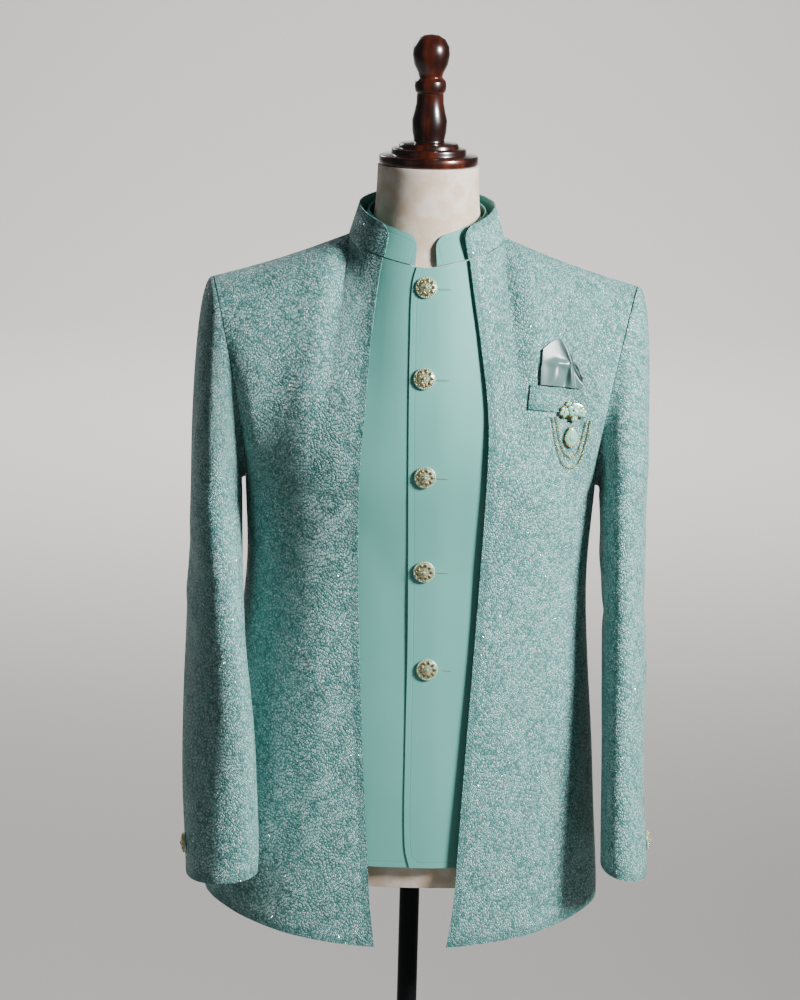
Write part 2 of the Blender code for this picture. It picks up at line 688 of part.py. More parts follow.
def build_form():
    """Torso and neck as one closed skin: body surfaces, arm plates, neck tube and flat ends."""
    mesh = bmesh.new()

    rows = body_rows()
    columns = 2 * HALF_COLUMNS
    neck_columns = round(HALF_COLUMNS * NECK_SHARE) * 2

    def column(i):
        return even_column(i, columns)

    def half_front(side):
        def place(i, j):
            return body_point(FORM, -1, side * abs(column(i + HALF_COLUMNS)), rows[j])

        return place

    def back(i, j):
        return body_point(FORM, 1, column(i), rows[j])

    laid_grid(mesh, HALF_COLUMNS, len(rows) - 1, half_front(-1))
    laid_grid(mesh, HALF_COLUMNS, len(rows) - 1, half_front(1))
    laid_grid(mesh, columns, len(rows) - 1, back)
    top_rows = [j for j in range(len(rows)) if rows[j] >= 0]
    for side in (-1, 1):

        def plate(i, j):
            v = rows[top_rows[j]]
            front, back = body_point(FORM, -1, side, v), body_point(FORM, 1, side, v)
            point = front.lerp(back, i / 4)
            point.x += side * 0.008 * math.sin(math.pi * i / 4) * math.sin(math.pi * v)
            return point

        laid_grid(mesh, 4, len(top_rows) - 1, plate)
    for face in (-1, 1):

        def neck(i, j):
            u = column(i + columns // 2 - neck_columns // 2)
            foot = top_point(FORM, face, u)
            if j == 0:
                return foot
            row = NECK_ROWS[j - 1]
            a = u / NECK_SHARE * math.pi / 2
            y = (row.front if face < 0 else row.back) * math.cos(a)
            z = row.z if j > 1 else max(row.z, foot.z + 0.006)
            return Vector((row.half * math.sin(a), y, z))

        laid_grid(mesh, neck_columns, len(NECK_ROWS), neck)
    bmesh.ops.remove_doubles(mesh, verts=mesh.verts, dist=0.00005)
    bmesh.ops.dissolve_degenerate(mesh, dist=0.00005, edges=mesh.edges)
    rims = [edge for edge in mesh.edges if edge.is_boundary]
    bmesh.ops.holes_fill(mesh, edges=rims, sides=0)
    bmesh.ops.recalc_face_normals(mesh, faces=mesh.faces)
    data = bpy.data.meshes.new("form_torso")
    mesh.to_mesh(data)
    mesh.free()
    obj = bpy.data.objects.new("form_torso", data)
    bpy.context.scene.collection.objects.link(obj)
    adopt(obj, "form_torso", LINEN_LOOK)
    data.set_sharp_from_angle(angle=math.radians(40))


def build_stand():
    rest = Matrix.Identity(4)
    turned("neck_cap", WOOD_LOOK, CAP_PROFILE, 24, Matrix.Translation((0, 0, NECK_TOP)))
    turned("stand_base", POLE_LOOK, BASE_PROFILE, 30, rest)
    foot = BASE_PROFILE[0][1] + SEAM_GAP
    length = FORM_HEM.front - SEAM_GAP - foot
    bpy.ops.mesh.primitive_cylinder_add(
        vertices=24, radius=POLE_RADIUS, depth=length, location=(0, 0, foot + length / 2)
    )
    adopt(bpy.context.object, "stand_pole", POLE_LOOK)


def build_jackets():
    seam = 0.0020
    front_panel("inner_front_right", INNER_LOOK, INNER, INNER_EDGES, "right", -1, INNER_CLOTH, seam)
    front_panel(
        "inner_front_left", INNER_LOOK, INNER, INNER_EDGES, "left", 1, INNER_CLOTH, seam, lapped_lift
    )
    back_panel("inner_back", INNER_LOOK, INNER, INNER_CLOTH, 2 * HALF_COLUMNS, seam)
    collar_band("inner_collar", INNER_LOOK, INNER_COLLAR, INNER, 26, 3, INNER_CLOTH, 0.0010)
    front_panel("outer_front_right", OUTER_LOOK, OUTER, OUTER_EDGES, "right", -1, OUTER_CLOTH, seam)
    front_panel("outer_front_left", OUTER_LOOK, OUTER, OUTER_EDGES, "left", 1, OUTER_CLOTH, seam)
    back_panel("outer_back", OUTER_LOOK, OUTER, OUTER_CLOTH, 2 * HALF_COLUMNS, seam)
    collar_band("outer_collar", OUTER_LOOK, OUTER_COLLAR, OUTER, 26, 3, OUTER_CLOTH, 0.0010)
    for word, rows, side in (("right", RIGHT_ARM, -1), ("left", LEFT_ARM, 1)):
        sleeve_piece(f"sleeve_{word}_top", rows, side, FRONT_SEAM, BACK_SEAM, SLEEVE_COLUMNS)
        sleeve_piece(f"sleeve_{word}_under", rows, side, BACK_SEAM, 1 + FRONT_SEAM, SLEEVE_COLUMNS)
        build_cuff_button(f"cuff_button_{word}", rows, side)


build_form()
build_stand()
build_jackets()
build_welt()
build_square()
build_inner_buttons()
build_brooch()
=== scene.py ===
"""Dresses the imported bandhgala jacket: cloth, trim, dress form, stand, light and camera."""
import logging
import math
from dataclasses import dataclass
from enum import Enum
from typing import Callable, Iterable, NamedTuple, Sequence

import bpy
import numpy as np
from mathutils import Matrix, Vector


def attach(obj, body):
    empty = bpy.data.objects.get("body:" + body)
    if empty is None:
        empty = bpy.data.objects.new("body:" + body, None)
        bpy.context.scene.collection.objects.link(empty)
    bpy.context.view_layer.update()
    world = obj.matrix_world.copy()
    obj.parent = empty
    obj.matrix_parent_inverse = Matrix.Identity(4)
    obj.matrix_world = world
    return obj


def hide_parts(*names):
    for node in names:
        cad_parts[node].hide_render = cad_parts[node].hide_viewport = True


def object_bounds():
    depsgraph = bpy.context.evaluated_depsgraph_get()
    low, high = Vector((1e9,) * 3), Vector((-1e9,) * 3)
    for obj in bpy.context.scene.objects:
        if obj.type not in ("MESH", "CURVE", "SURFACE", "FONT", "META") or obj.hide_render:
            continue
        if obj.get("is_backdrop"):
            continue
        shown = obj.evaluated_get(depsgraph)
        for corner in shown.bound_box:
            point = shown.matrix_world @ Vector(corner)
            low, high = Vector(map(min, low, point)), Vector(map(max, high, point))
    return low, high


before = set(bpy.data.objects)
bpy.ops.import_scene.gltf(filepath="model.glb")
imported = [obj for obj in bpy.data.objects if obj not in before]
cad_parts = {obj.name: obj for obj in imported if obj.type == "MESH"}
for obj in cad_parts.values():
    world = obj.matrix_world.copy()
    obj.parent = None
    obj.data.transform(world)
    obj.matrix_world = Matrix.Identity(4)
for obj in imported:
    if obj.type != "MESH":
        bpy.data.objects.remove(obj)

log = logging.getLogger("jacket")
CAD_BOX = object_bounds()

UNDERARM_Z = 1.180
NECK_SHARE = 0.35
NECK_POINT = Vector((0.083, -0.004, 1.449))
SHOULDER_TIP = Vector((0.229, 0.004, 1.398))
FRONT_NECK = (-0.078, 1.422)
BACK_NECK = (0.064, 1.462)
SHOULDER_SAG = 0.003
SQUARENESS = 2.3
ARM_SQUARENESS = 2.2
OUTER_CLOTH = 0.0014
INNER_CLOTH = 0.0010
FRONT_SEAM, BACK_SEAM = 0.13, 0.62
CUFF_TILT = 0.012
SEAM_REACH = 0.0011
LAP_LIFT = 0.0014
LAP_FLAT, LAP_END = 0.024, 0.040

# Segments and rings of a bead that is a millimetre or so across.
SMALL_BEAD = (8, 5)

Place = Callable[[int, int], Vector]


class Section(NamedTuple):
    """One level cut through a body layer, in metres."""

    z: float
    half: float
    front: float
    back: float
    centre: float


class Edge(NamedTuple):
    """Where the two front edges pass at one height."""

    z: float
    right: float
    left: float


class Arm(NamedTuple):
    """One level cut through a sleeve."""

    z: float
    inner: float
    outer: float
    centre: float
    half: float
    lean: float


class Neck(NamedTuple):
    """One level cut through the form's neck."""

    z: float
    half: float
    front: float
    back: float


class Fold(NamedTuple):
    """A soft ridge (positive) or trough: its ends in metres along the cloth, width and height."""

    s0: float
    t0: float
    s1: float
    t1: float
    width: float
    height: float


class Face(Enum):
    """The two halves of a body layer."""

    FRONT = -1
    BACK = 1


class Side(Enum):
    """The wearer's sides."""

    RIGHT = -1
    LEFT = 1


OUTER_SECTIONS = (
    Section(0.680, 0.2180, 0.1320, 0.1290, -0.0105),
    Section(0.740, 0.2160, 0.1305, 0.1270, -0.0100),
    Section(0.820, 0.2090, 0.1280, 0.1235, -0.0085),
    Section(0.900, 0.2020, 0.1240, 0.1195, -0.0065),
    Section(0.980, 0.1935, 0.1200, 0.1155, -0.0045),
    Section(1.050, 0.1870, 0.1175, 0.1120, -0.0025),
    Section(1.100, 0.1855, 0.1180, 0.1115, -0.0010),
    Section(1.180, 0.1900, 0.1250, 0.1170, 0.0000),
)
INNER_SECTIONS = (
    Section(0.770, 0.1960, 0.1200, 0.1160, -0.0060),
    Section(0.860, 0.1920, 0.1180, 0.1130, -0.0050),
    Section(0.960, 0.1840, 0.1140, 0.1085, -0.0030),
    Section(1.050, 0.1770, 0.1110, 0.1050, -0.0015),
    Section(1.100, 0.1765, 0.1115, 0.1050, -0.0005),
    Section(1.180, 0.1830, 0.1195, 0.1105, 0.0000),
)
FORM_SECTIONS = (
    Section(0.749, 0.1640, 0.1060, 0.1050, 0.0000),
    Section(0.800, 0.1710, 0.1100, 0.1080, 0.0000),
    Section(0.880, 0.1690, 0.1080, 0.1050, 0.0000),
    Section(0.960, 0.1590, 0.1030, 0.0980, 0.0000),
    Section(1.050, 0.1520, 0.1010, 0.0930, 0.0000),
    Section(1.110, 0.1620, 0.1050, 0.0970, 0.0000),
    Section(1.180, 0.1750, 0.1140, 0.1055, 0.0000),
)
OUTER_EDGES = (
    Edge(0.680, -0.0360, 0.0390),
    Edge(0.730, -0.0425, 0.0465),
    Edge(0.800, -0.0480, 0.0505),
    Edge(0.900, -0.0545, 0.0555),
    Edge(1.000, -0.0600, 0.0610),
    Edge(1.100, -0.0640, 0.0660),
    Edge(1.200, -0.0650, 0.0700),
    Edge(1.270, -0.0610, 0.0700),
    Edge(1.340, -0.0570, 0.0610),
    Edge(1.400, -0.0510, 0.0510),
    Edge(1.440, -0.0450, 0.0450),
)
INNER_EDGES = (
    Edge(0.770, 0.0190, 0.0000),
    Edge(0.800, 0.0190, -0.0070),
    Edge(0.900, 0.0190, -0.0090),
    Edge(1.030, 0.0190, -0.0095),
    Edge(1.250, 0.0190, -0.0140),
    Edge(1.350, 0.0190, -0.0150),
    Edge(1.405, 0.0190, -0.0140),
    Edge(1.430, 0.0190, -0.0080),
)
RIGHT_ARM = (
    Arm(0.765, 0.1660, 0.2420, -0.1310, 0.0480, 0.012),
    Arm(0.800, 0.1650, 0.2440, -0.1280, 0.0500, 0.014),
    Arm(0.860, 0.1680, 0.2480, -0.1200, 0.0540, 0.018),
    Arm(0.940, 0.1740, 0.2500, -0.1000, 0.0620, 0.022),
    Arm(1.020, 0.1850, 0.2500, -0.0660, 0.0690, 0.018),
    Arm(1.100, 0.1910, 0.2500, -0.0280, 0.0740, 0.010),
    Arm(1.165, 0.1940, 0.2505, -0.0050, 0.0760, 0.004),
)
LEFT_ARM = (
    Arm(0.765, 0.2080, 0.2580, -0.0760, 0.0550, 0.004),
    Arm(0.800, 0.2070, 0.2560, -0.0740, 0.0570, 0.004),
    Arm(0.860, 0.2060, 0.2520, -0.0660, 0.0600, 0.004),
    Arm(0.940, 0.2050, 0.2510, -0.0480, 0.0660, 0.004),
    Arm(1.020, 0.2030, 0.2500, -0.0270, 0.0710, 0.003),
    Arm(1.100, 0.2000, 0.2475, -0.0100, 0.0750, 0.002),
    Arm(1.165, 0.1960, 0.2470, -0.0010, 0.0770, 0.002),
)
NECK_ROWS = (
    Neck(1.4620, 0.0600, -0.0600, 0.0545),
    Neck(1.4750, 0.0570, -0.0570, 0.0530),
    Neck(1.5000, 0.0552, -0.0550, 0.0530),
    Neck(1.5250, 0.0545, -0.0545, 0.0535),
)


def eased(rows: Sequence[NamedTuple], z: float, field: str) -> float:
    """Reads one column of a table at a height, on a smooth curve through its rows.

    Args:
        rows: the table, lowest row first.
        z: the height.
        field: the column's name.

    Returns:
        The value there.
    """
    zs = [row.z for row in rows]
    vs = [getattr(row, field) for row in rows]
    z = min(max(z, zs[0]), zs[-1])
    i = max(k for k in range(len(zs) - 1) if zs[k] <= z)

    def slope(k: int) -> float:
        """Slope of the column at row k."""
        a, b = max(k - 1, 0), min(k + 1, len(zs) - 1)
        return (vs[b] - vs[a]) / (zs[b] - zs[a])

    width = zs[i + 1] - zs[i]
    t = (z - zs[i]) / width
    return (
        (2 * t**3 - 3 * t**2 + 1) * vs[i]
        + (t**3 - 2 * t**2 + t) * width * slope(i)
        + (-2 * t**3 + 3 * t**2) * vs[i + 1]
        + (t**3 - t**2) * width * slope(i + 1)
    )


def ramp(low: float, high: float, value: float) -> float:
    """Rises smoothly from 0 at low to 1 at high."""
    t = min(max((value - low) / (high - low), 0.0), 1.0)
    return t * t * (3 - 2 * t)


def power(value: float, exponent: float) -> float:
    """Power that keeps the sign."""
    return math.copysign(abs(value) ** exponent, value)


def hermite(p0: Vector, p1: Vector, t0: Vector, t1: Vector, v: float) -> Vector:
    """Point of the curve from p0 to p1 with end tangents t0 and t1."""
    return (
        p0 * (2 * v**3 - 3 * v**2 + 1)
        + t0 * (v**3 - 2 * v**2 + v)
        + p1 * (3 * v**2 - 2 * v**3)
        + t1 * (v**3 - v**2)
    )


@dataclass(frozen=True)
class Layer:
    """One layer round the body: the outer jacket, the inner jacket or the form."""

    sections: tuple[Section, ...]
    hem_front: float
    hem_side: float
    hem_back: float
    drop: float
    inset: float

    def section(self, face: Face, angle: float, z: float) -> Vector:
        """Point at an angle from the centre front or back, at a height."""
        half = eased(self.sections, z, "half")
        depth = eased(self.sections, z, "front" if face is Face.FRONT else "back")
        x = eased(self.sections, z, "centre") + half * power(math.sin(angle), 2 / SQUARENESS)
        return Vector((x, face.value * depth * power(math.cos(angle), 2 / SQUARENESS), z))

    def top(self, face: Face, u: float) -> Vector:
        """Point of the neckline, then of the shoulder seam, at column u from the centre."""
        side, u = math.copysign(1, u), abs(u)
        neck_y, neck_z = FRONT_NECK if face is Face.FRONT else BACK_NECK
        if u <= NECK_SHARE:
            s = u / NECK_SHARE
            a = s * math.pi / 2
            x = (NECK_POINT.x - self.inset) * math.sin(a)
            y = NECK_POINT.y + (neck_y - NECK_POINT.y - face.value * self.inset) * math.cos(a)
            return Vector((side * x, y, neck_z + (NECK_POINT.z - neck_z) * s - self.drop * s))
        k = (u - NECK_SHARE) / (1 - NECK_SHARE)
        x = (NECK_POINT.x - self.inset) * (1 - k) + (SHOULDER_TIP.x - 1.6 * self.drop) * k
        y = NECK_POINT.y * (1 - k) + SHOULDER_TIP.y * k
        z = NECK_POINT.z * (1 - k) + SHOULDER_TIP.z * k - SHOULDER_SAG * math.sin(math.pi * k)
        return Vector((side * x, y, z - self.drop))

    def point(self, face: Face, u: float, v: float) -> Vector:
        """Point of the layer.

        Args:
            face: front or back.
            u: column, from the centre (0) to the side (1 or -1).
            v: row, from the hem (-1) past the underarm (0) to the top (1).

        Returns:
            The point, in metres.
        """
        side, w = math.copysign(1, u), abs(u)
        angle = w * math.pi / 2
        if v <= 0:
            end = self.hem_front if face is Face.FRONT else self.hem_back
            low = end + (self.hem_side - end) * math.sin(angle) ** 2
            return self.section(face, side * angle, UNDERARM_Z + (UNDERARM_Z - low) * v)
        p0 = self.section(face, side * angle, UNDERARM_Z)
        p1 = self.top(face, u)
        level = OUTER.section(face, side * angle, UNDERARM_Z)
        rise = OUTER.section(face, side * angle, UNDERARM_Z - 0.01)
        up = (level - rise).normalized() * 0.25
        tuck = 7.5 * self.drop * ramp(0.15, 0.8, w)
        round_arm = Vector((-0.03 * side, (0.24 - tuck) * face.value, 0.06))
        t0 = up.lerp(round_arm, ramp(0.52, 1.0, w))
        in_x = 0.03 * side * ramp(0.60, 1.0, w)
        over = Vector((in_x, -(0.25 - tuck) * face.value, 0.03))
        upright = Vector((0, -0.08 * face.value, 0.23))
        t1 = upright.lerp(over, ramp(0.15, NECK_SHARE + 0.12, w))
        return hermite(p0, p1, t0, t1, v)

    def normal(self, face: Face, u: float, v: float) -> Vector:
        """Outward normal of the layer."""
        step = 1e-3
        u = min(max(u, -1 + step), 1 - step)
        v = min(max(v, -1 + step), 1 - step)
        du = self.point(face, u + step, v) - self.point(face, u - step, v)
        dv = self.point(face, u, v + step) - self.point(face, u, v - step)
        return (du.cross(dv) * -face.value).normalized()

    def edge(self, edges: tuple[Edge, ...], field: str, v: float) -> float:
        """Column of a front edge at row v."""
        low, high = -0.6, 0.6
        for _ in range(30):
            middle = (low + high) / 2
            p = self.point(Face.FRONT, middle, v)
            if p.x < eased(edges, p.z, field):
                low = middle
            else:
                high = middle
        return (low + high) / 2

    def find(self, x: float, z: float) -> tuple[Vector, Vector]:
        """Point and normal of the layer's front at x and z."""
        u, v = x / 0.2, (z - UNDERARM_Z) / 0.25
        for _ in range(16):
            p = self.point(Face.FRONT, u, v)
            u += (x - p.x) / 0.2 * 0.8
            v += (z - p.z) / (0.25 if v > 0 else 0.45) * 0.8
        return self.point(Face.FRONT, u, v), self.normal(Face.FRONT, u, v)


OUTER = Layer(OUTER_SECTIONS, 0.689, 0.722, 0.700, 0.0, 0.0)
INNER = Layer(INNER_SECTIONS, 0.776, 0.781, 0.778, 0.0032, 0.0042)
FORM = Layer(FORM_SECTIONS, 0.749, 0.749, 0.749, 0.0052, 0.0076)


@dataclass(frozen=True)
class Sleeve:
    """One sleeve's hollow form."""

    rows: tuple[Arm, ...]
    side: Side

    def ring(self, q: float, z: float) -> Vector:
        """Point of the section at a height, q being the share of the way round."""
        inner, outer = eased(self.rows, z, "inner"), eased(self.rows, z, "outer")
        centre, half = eased(self.rows, z, "centre"), eased(self.rows, z, "half")
        lean = eased(self.rows, z, "lean")
        angle = 2 * math.pi * q
        wide = math.sqrt(((outer - inner) / 2) ** 2 - lean**2)
        x = (inner + outer) / 2 - wide * power(math.cos(angle), 2 / ARM_SQUARENESS)
        x -= lean * power(math.sin(angle), 2 / ARM_SQUARENESS)
        y = centre - half * power(math.sin(angle), 2 / ARM_SQUARENESS)
        return Vector((self.side.value * x, y, z))

    def armhole(self, q: float) -> Vector:
        """Point of the outer jacket's armhole."""
        if q <= 0.5:
            return OUTER.point(Face.FRONT, self.side.value, max(2 * q, 1e-6))
        return OUTER.point(Face.BACK, self.side.value, max(2 * (1 - q), 1e-6))

    def point(self, q: float, v: float) -> Vector:
        """Point of the sleeve: v from the cuff (-1) past the underarm (0) to the armhole (1)."""
        q %= 1.0
        top = self.rows[-1].z
        across = -math.cos(2 * math.pi * q)
        if v <= 0:
            low = self.rows[0].z - CUFF_TILT * across / 2 + CUFF_TILT / 2
            return self.ring(q, top + (top - low) * v)
        p0 = self.ring(q, top)
        side = self.side.value
        p1 = self.armhole(q) + Vector((side * SEAM_REACH, 0, 0))
        t0 = Vector((0, 0, (p1.z - p0.z) * 1.25))
        t1 = Vector((-side * (0.022 + 0.028 * max(across, 0.0)), 0, 0))
        return hermite(p0, p1, t0, t1, v)


@dataclass(frozen=True)
class CollarBand:
    """A stand collar on a layer's neckline, with rounded front corners."""

    layer: Layer
    end: float
    half: float
    front: float
    back: float
    rise_end: float
    rise_side: float
    rise_back: float
    corner: float

    def point(self, s: float, t: float) -> Vector:
        """Point of the band: s from its right end round the back to its left end, t upwards."""
        reach = NECK_POINT.x - self.layer.inset
        start = NECK_SHARE * 2 / math.pi * math.asin(self.end / reach)
        share = (NECK_SHARE - start) / (2 * NECK_SHARE - start)
        side = -1 if s < 0.5 else 1
        along = abs(2 * s - 1)
        if along > 1 - share:
            u, face = start + (NECK_SHARE - start) * (1 - along) / share, Face.FRONT
        else:
            u, face = NECK_SHARE * along / (1 - share), Face.BACK
        foot = self.layer.top(face, side * max(u, 1e-9))
        a = u / NECK_SHARE * math.pi / 2
        depth = self.front if face is Face.FRONT else self.back
        middle = self.rise_end if face is Face.FRONT else self.rise_back
        rise = middle + (self.rise_side - middle) * math.sin(a)
        y = NECK_POINT.y + (depth - NECK_POINT.y) * math.cos(a)
        brim = Vector((side * self.half * math.sin(a), y, foot.z + rise))
        cut = max(self.corner - (1 - along) * 0.20, 0.0)
        lost = self.corner - math.sqrt(max(self.corner**2 - cut**2, 0.0))
        foot.z += 0.0008
        return foot.lerp(brim, t * (1 - lost / rise * 0.92))


OUTER_COLLAR = CollarBand(OUTER, 0.0445, 0.0725, -0.070, 0.060, 0.030, 0.035, 0.038, 0.014)
INNER_COLLAR = CollarBand(INNER, 0.0115, 0.0625, -0.062, 0.054, 0.030, 0.032, 0.034, 0.013)
RIGHT_SLEEVE = Sleeve(RIGHT_ARM, Side.RIGHT)
LEFT_SLEEVE = Sleeve(LEFT_ARM, Side.LEFT)


# ---------------------------------------------------------------- mesh tools


def alone(obj: bpy.types.Object) -> bpy.types.Object:
    """Makes one object the only selected and the active one."""
    bpy.ops.object.select_all(action="DESELECT")
    obj.select_set(True)
    bpy.context.view_layer.objects.active = obj
    return obj


def fold_heights(folds: Iterable[Fold], s: np.ndarray, t: np.ndarray) -> np.ndarray:
    """Adds up a piece's ridges and troughs.

    Args:
        folds: the folds, their ends as shares of the piece's width and height.
        s: distance across the piece at each vertex, in metres.
        t: distance up the piece at each vertex, in metres.

    Returns:
        The height at each vertex, in metres.
    """
    wide, tall = float(s.max()), float(t.max())
    total = np.zeros_like(s)
    for fold in folds:
        ax, ay = (fold.s1 - fold.s0) * wide, (fold.t1 - fold.t0) * tall
        reach = math.hypot(ax, ay)
        px, py = s - fold.s0 * wide, t - fold.t0 * tall
        share = (px * ax + py * ay) / reach**2
        held = np.clip(share, 0.0, 1.0)
        bow = 0.05 * reach * np.sin(math.pi * held)
        off = (px * ay - py * ax) / reach - bow
        past = (share - held) * reach
        spread = (off / fold.width) ** 2 + (past / (1.8 * fold.width)) ** 2
        total += fold.height * np.exp(-spread) * (0.4 + 0.6 * np.sin(math.pi * held))
    return total


@dataclass(frozen=True)
class Laid:
    """A laid surface and its flat size in metres."""

    obj: bpy.types.Object
    width: float
    length: float
    area: float


def lay(
    name: str,
    columns: int,
    rows: int,
    place: Place,
    hub: Callable[[int], Vector],
    folds: Iterable[Fold] = (),
    finished: str = "",
) -> Laid:
    """Lays a grid on a surface, with its real size in metres as its UV map.

    Args:
        name: the object's name.
        columns: cells across.
        rows: cells upwards.
        place: gives the point of vertex (i, j).
        hub: gives a point inside the surface at row j, from which the surface faces outwards.
        folds: ridges and troughs on it.
        finished: its finished edges, letters out of l, r, b and t.

    Returns:
        The surface and its flat size.
    """
    bpy.ops.object.select_all(action="DESELECT")
    bpy.ops.mesh.primitive_grid_add(x_subdivisions=columns, y_subdivisions=rows, size=1.0)
    obj = bpy.context.object
    obj.name = obj.data.name = name
    p = np.array([[place(i, j) for i in range(columns + 1)] for j in range(rows + 1)])
    hubs = np.array([hub(j) for j in range(rows + 1)])[:, None, :]

    def normals(q: np.ndarray) -> np.ndarray:
        """Unit normals of a grid of points."""
        n = np.cross(np.gradient(q, axis=1), np.gradient(q, axis=0))
        return n / np.maximum(np.linalg.norm(n, axis=2, keepdims=True), 1e-12)

    sides = {"l": "l", "r": "r", "b": "b", "t": "t"}
    if float((normals(p) * (p - hubs)).sum()) < 0:
        p = p[:, ::-1]
        sides["l"], sides["r"] = "r", "l"
    across = np.linalg.norm(np.diff(p, axis=1), axis=2)
    upward = np.linalg.norm(np.diff(p, axis=0), axis=2)
    s = np.concatenate([np.zeros((rows + 1, 1)), np.cumsum(across, axis=1)], axis=1)
    t = np.concatenate([np.zeros((1, columns + 1)), np.cumsum(upward, axis=0)], axis=0)
    gaps = {"l": s, "r": s[:, -1:] - s, "b": t, "t": t[-1:] - t}
    if folds:
        # Folds die out towards the sewn edges, so that neighbouring pieces stay side by side
        seam = np.full_like(s, 0.05)
        for letter in "lrbt":
            if letter not in finished:
                seam = np.minimum(seam, gaps[sides[letter]])
        held = np.clip((seam - 0.002) / 0.028, 0.0, 1.0) ** 1.5
        p = p + normals(p) * (fold_heights(folds, s, t) * held)[:, :, None]
    obj.data.vertices.foreach_set("co", p.reshape(-1).astype(np.float32))
    band = np.full_like(s, 0.05)
    for letter in finished:
        band = np.minimum(band, gaps[sides[letter]])
    layer = obj.data.attributes.new("band", "FLOAT", "POINT")
    layer.data.foreach_set("value", band.reshape(-1).astype(np.float32))
    where = np.stack([s, t], axis=2).reshape(-1, 2)
    corners = np.zeros(len(obj.data.loops), dtype=np.int32)
    obj.data.loops.foreach_get("vertex_index", corners)
    obj.data.uv_layers[0].data.foreach_set("uv", where[corners].reshape(-1).astype(np.float32))
    obj.data.update()
    width, length = float(s[:, -1].max()), float(t[-1].max())
    area = float((across[:-1].mean() * upward[:, :-1].mean()) * columns * rows)
    return Laid(obj, width, length, min(area, width * length))


def walled(obj: bpy.types.Object, wall: float, bevel: float = 0.0) -> bpy.types.Object:
    """Gives a surface even walls on both sides and smooth shading.

    Args:
        obj: the surface.
        wall: its thickness.
        bevel: roundness of its edges, or 0.

    Returns:
        The same object.
    """
    alone(obj)
    bpy.ops.object.modifier_add(type="SOLIDIFY")
    solid = obj.modifiers[-1]
    solid.thickness = wall
    solid.offset = 0.0
    solid.use_even_offset = True
    solid.material_offset = 1
    bpy.ops.object.modifier_apply(modifier=solid.name)
    if bevel:
        rounded(obj, bevel)
    bpy.ops.object.shade_smooth_by_angle(angle=math.radians(50))
    return obj


def rounded(obj: bpy.types.Object, width: float, segments: int = 2) -> None:
    """Rounds an object's sharp edges."""
    alone(obj)
    bpy.ops.object.modifier_add(type="BEVEL")
    bevel = obj.modifiers[-1]
    bevel.width = width
    bevel.segments = segments
    bevel.limit_method = "ANGLE"
    bevel.angle_limit = math.radians(35)
    bpy.ops.object.modifier_apply(modifier=bevel.name)


def merged(objs: Sequence[bpy.types.Object], name: str, near: float = 0.0) -> bpy.types.Object:
    """Joins objects into one, and welds the vertices that lie nearer than near."""
    bpy.ops.object.select_all(action="DESELECT")
    for obj in objs:
        obj.select_set(True)
    bpy.context.view_layer.objects.active = objs[0]
    if len(objs) > 1:
        bpy.ops.object.join()
    whole = bpy.context.view_layer.objects.active
    whole.name = whole.data.name = name
    if near:
        bpy.ops.object.mode_set(mode="EDIT")
        bpy.ops.mesh.select_all(action="SELECT")
        bpy.ops.mesh.remove_doubles(threshold=near)
        bpy.ops.mesh.normals_make_consistent(inside=False)
        bpy.ops.object.mode_set(mode="OBJECT")
    return whole


def facing(point: Vector, normal: Vector) -> Matrix:
    """Matrix that stands a piece on a point, its axis along the normal."""
    return Matrix.Translation(point) @ normal.to_track_quat("Z", "Y").to_matrix().to_4x4()


def upright(point: Vector, normal: Vector) -> Matrix:
    """Matrix that lays a piece on a point, its y upwards and its z along the normal."""
    side = Vector((0, 0, 1)).cross(normal).normalized()
    up = normal.cross(side).normalized()
    return Matrix.Translation(point) @ Matrix((side, up, normal)).transposed().to_4x4()


def turned(
    name: str,
    profile: Sequence[tuple[float, float]],
    steps: int,
    matrix: Matrix,
    bevel: float = 0.0,
) -> bpy.types.Object:
    """Turns a profile of radius and height round an axis.

    Args:
        name: the object's name.
        profile: radius and height down the outer side, both ends on the axis.
        steps: facets round the axis.
        matrix: where the axis stands.
        bevel: roundness of sharp edges, or 0.

    Returns:
        The closed solid.
    """

    def place(i: int, j: int) -> Vector:
        """Point of the profile at one step of the turn."""
        radius, height = profile[len(profile) - 1 - j]
        angle = 2 * math.pi * i / steps
        return Vector((radius * math.cos(angle), radius * math.sin(angle), height))

    middle = sum(height for _, height in profile) / len(profile)
    laid = lay(name, steps, len(profile) - 1, place, lambda j: Vector((0, 0, middle)))
    obj = merged([laid.obj], name, 1e-6)
    if bevel:
        rounded(obj, bevel)
    obj.data.transform(matrix)
    bpy.ops.object.shade_smooth_by_angle(angle=math.radians(40))
    return obj


def bead(radius: float, at: Vector, segments: int = 6, rings: int = 4) -> bpy.types.Object:
    """A small bead of few faces."""
    bpy.ops.object.select_all(action="DESELECT")
    bpy.ops.mesh.primitive_uv_sphere_add(
        segments=segments, ring_count=rings, radius=radius, location=at
    )
    return bpy.context.object


def copies(source: bpy.types.Object, places: Sequence[Matrix], name: str) -> bpy.types.Object:
    """Repeats a small shape at many places and joins the copies into one mesh.

    Args:
        source: the shape, which is used up.
        places: a matrix for each copy.
        name: the joined object's name.

    Returns:
        The joined object, its own place at the origin.
    """
    alone(source)
    bpy.ops.object.transform_apply(location=True, rotation=True, scale=True)
    made = []
    for matrix in places:
        alone(source)
        bpy.ops.object.duplicate()
        copy = bpy.context.object
        copy.data.transform(matrix)
        made.append(copy)
    bpy.data.objects.remove(source, do_unlink=True)
    whole = merged(made, name)
    bpy.ops.object.shade_smooth()
    return whole


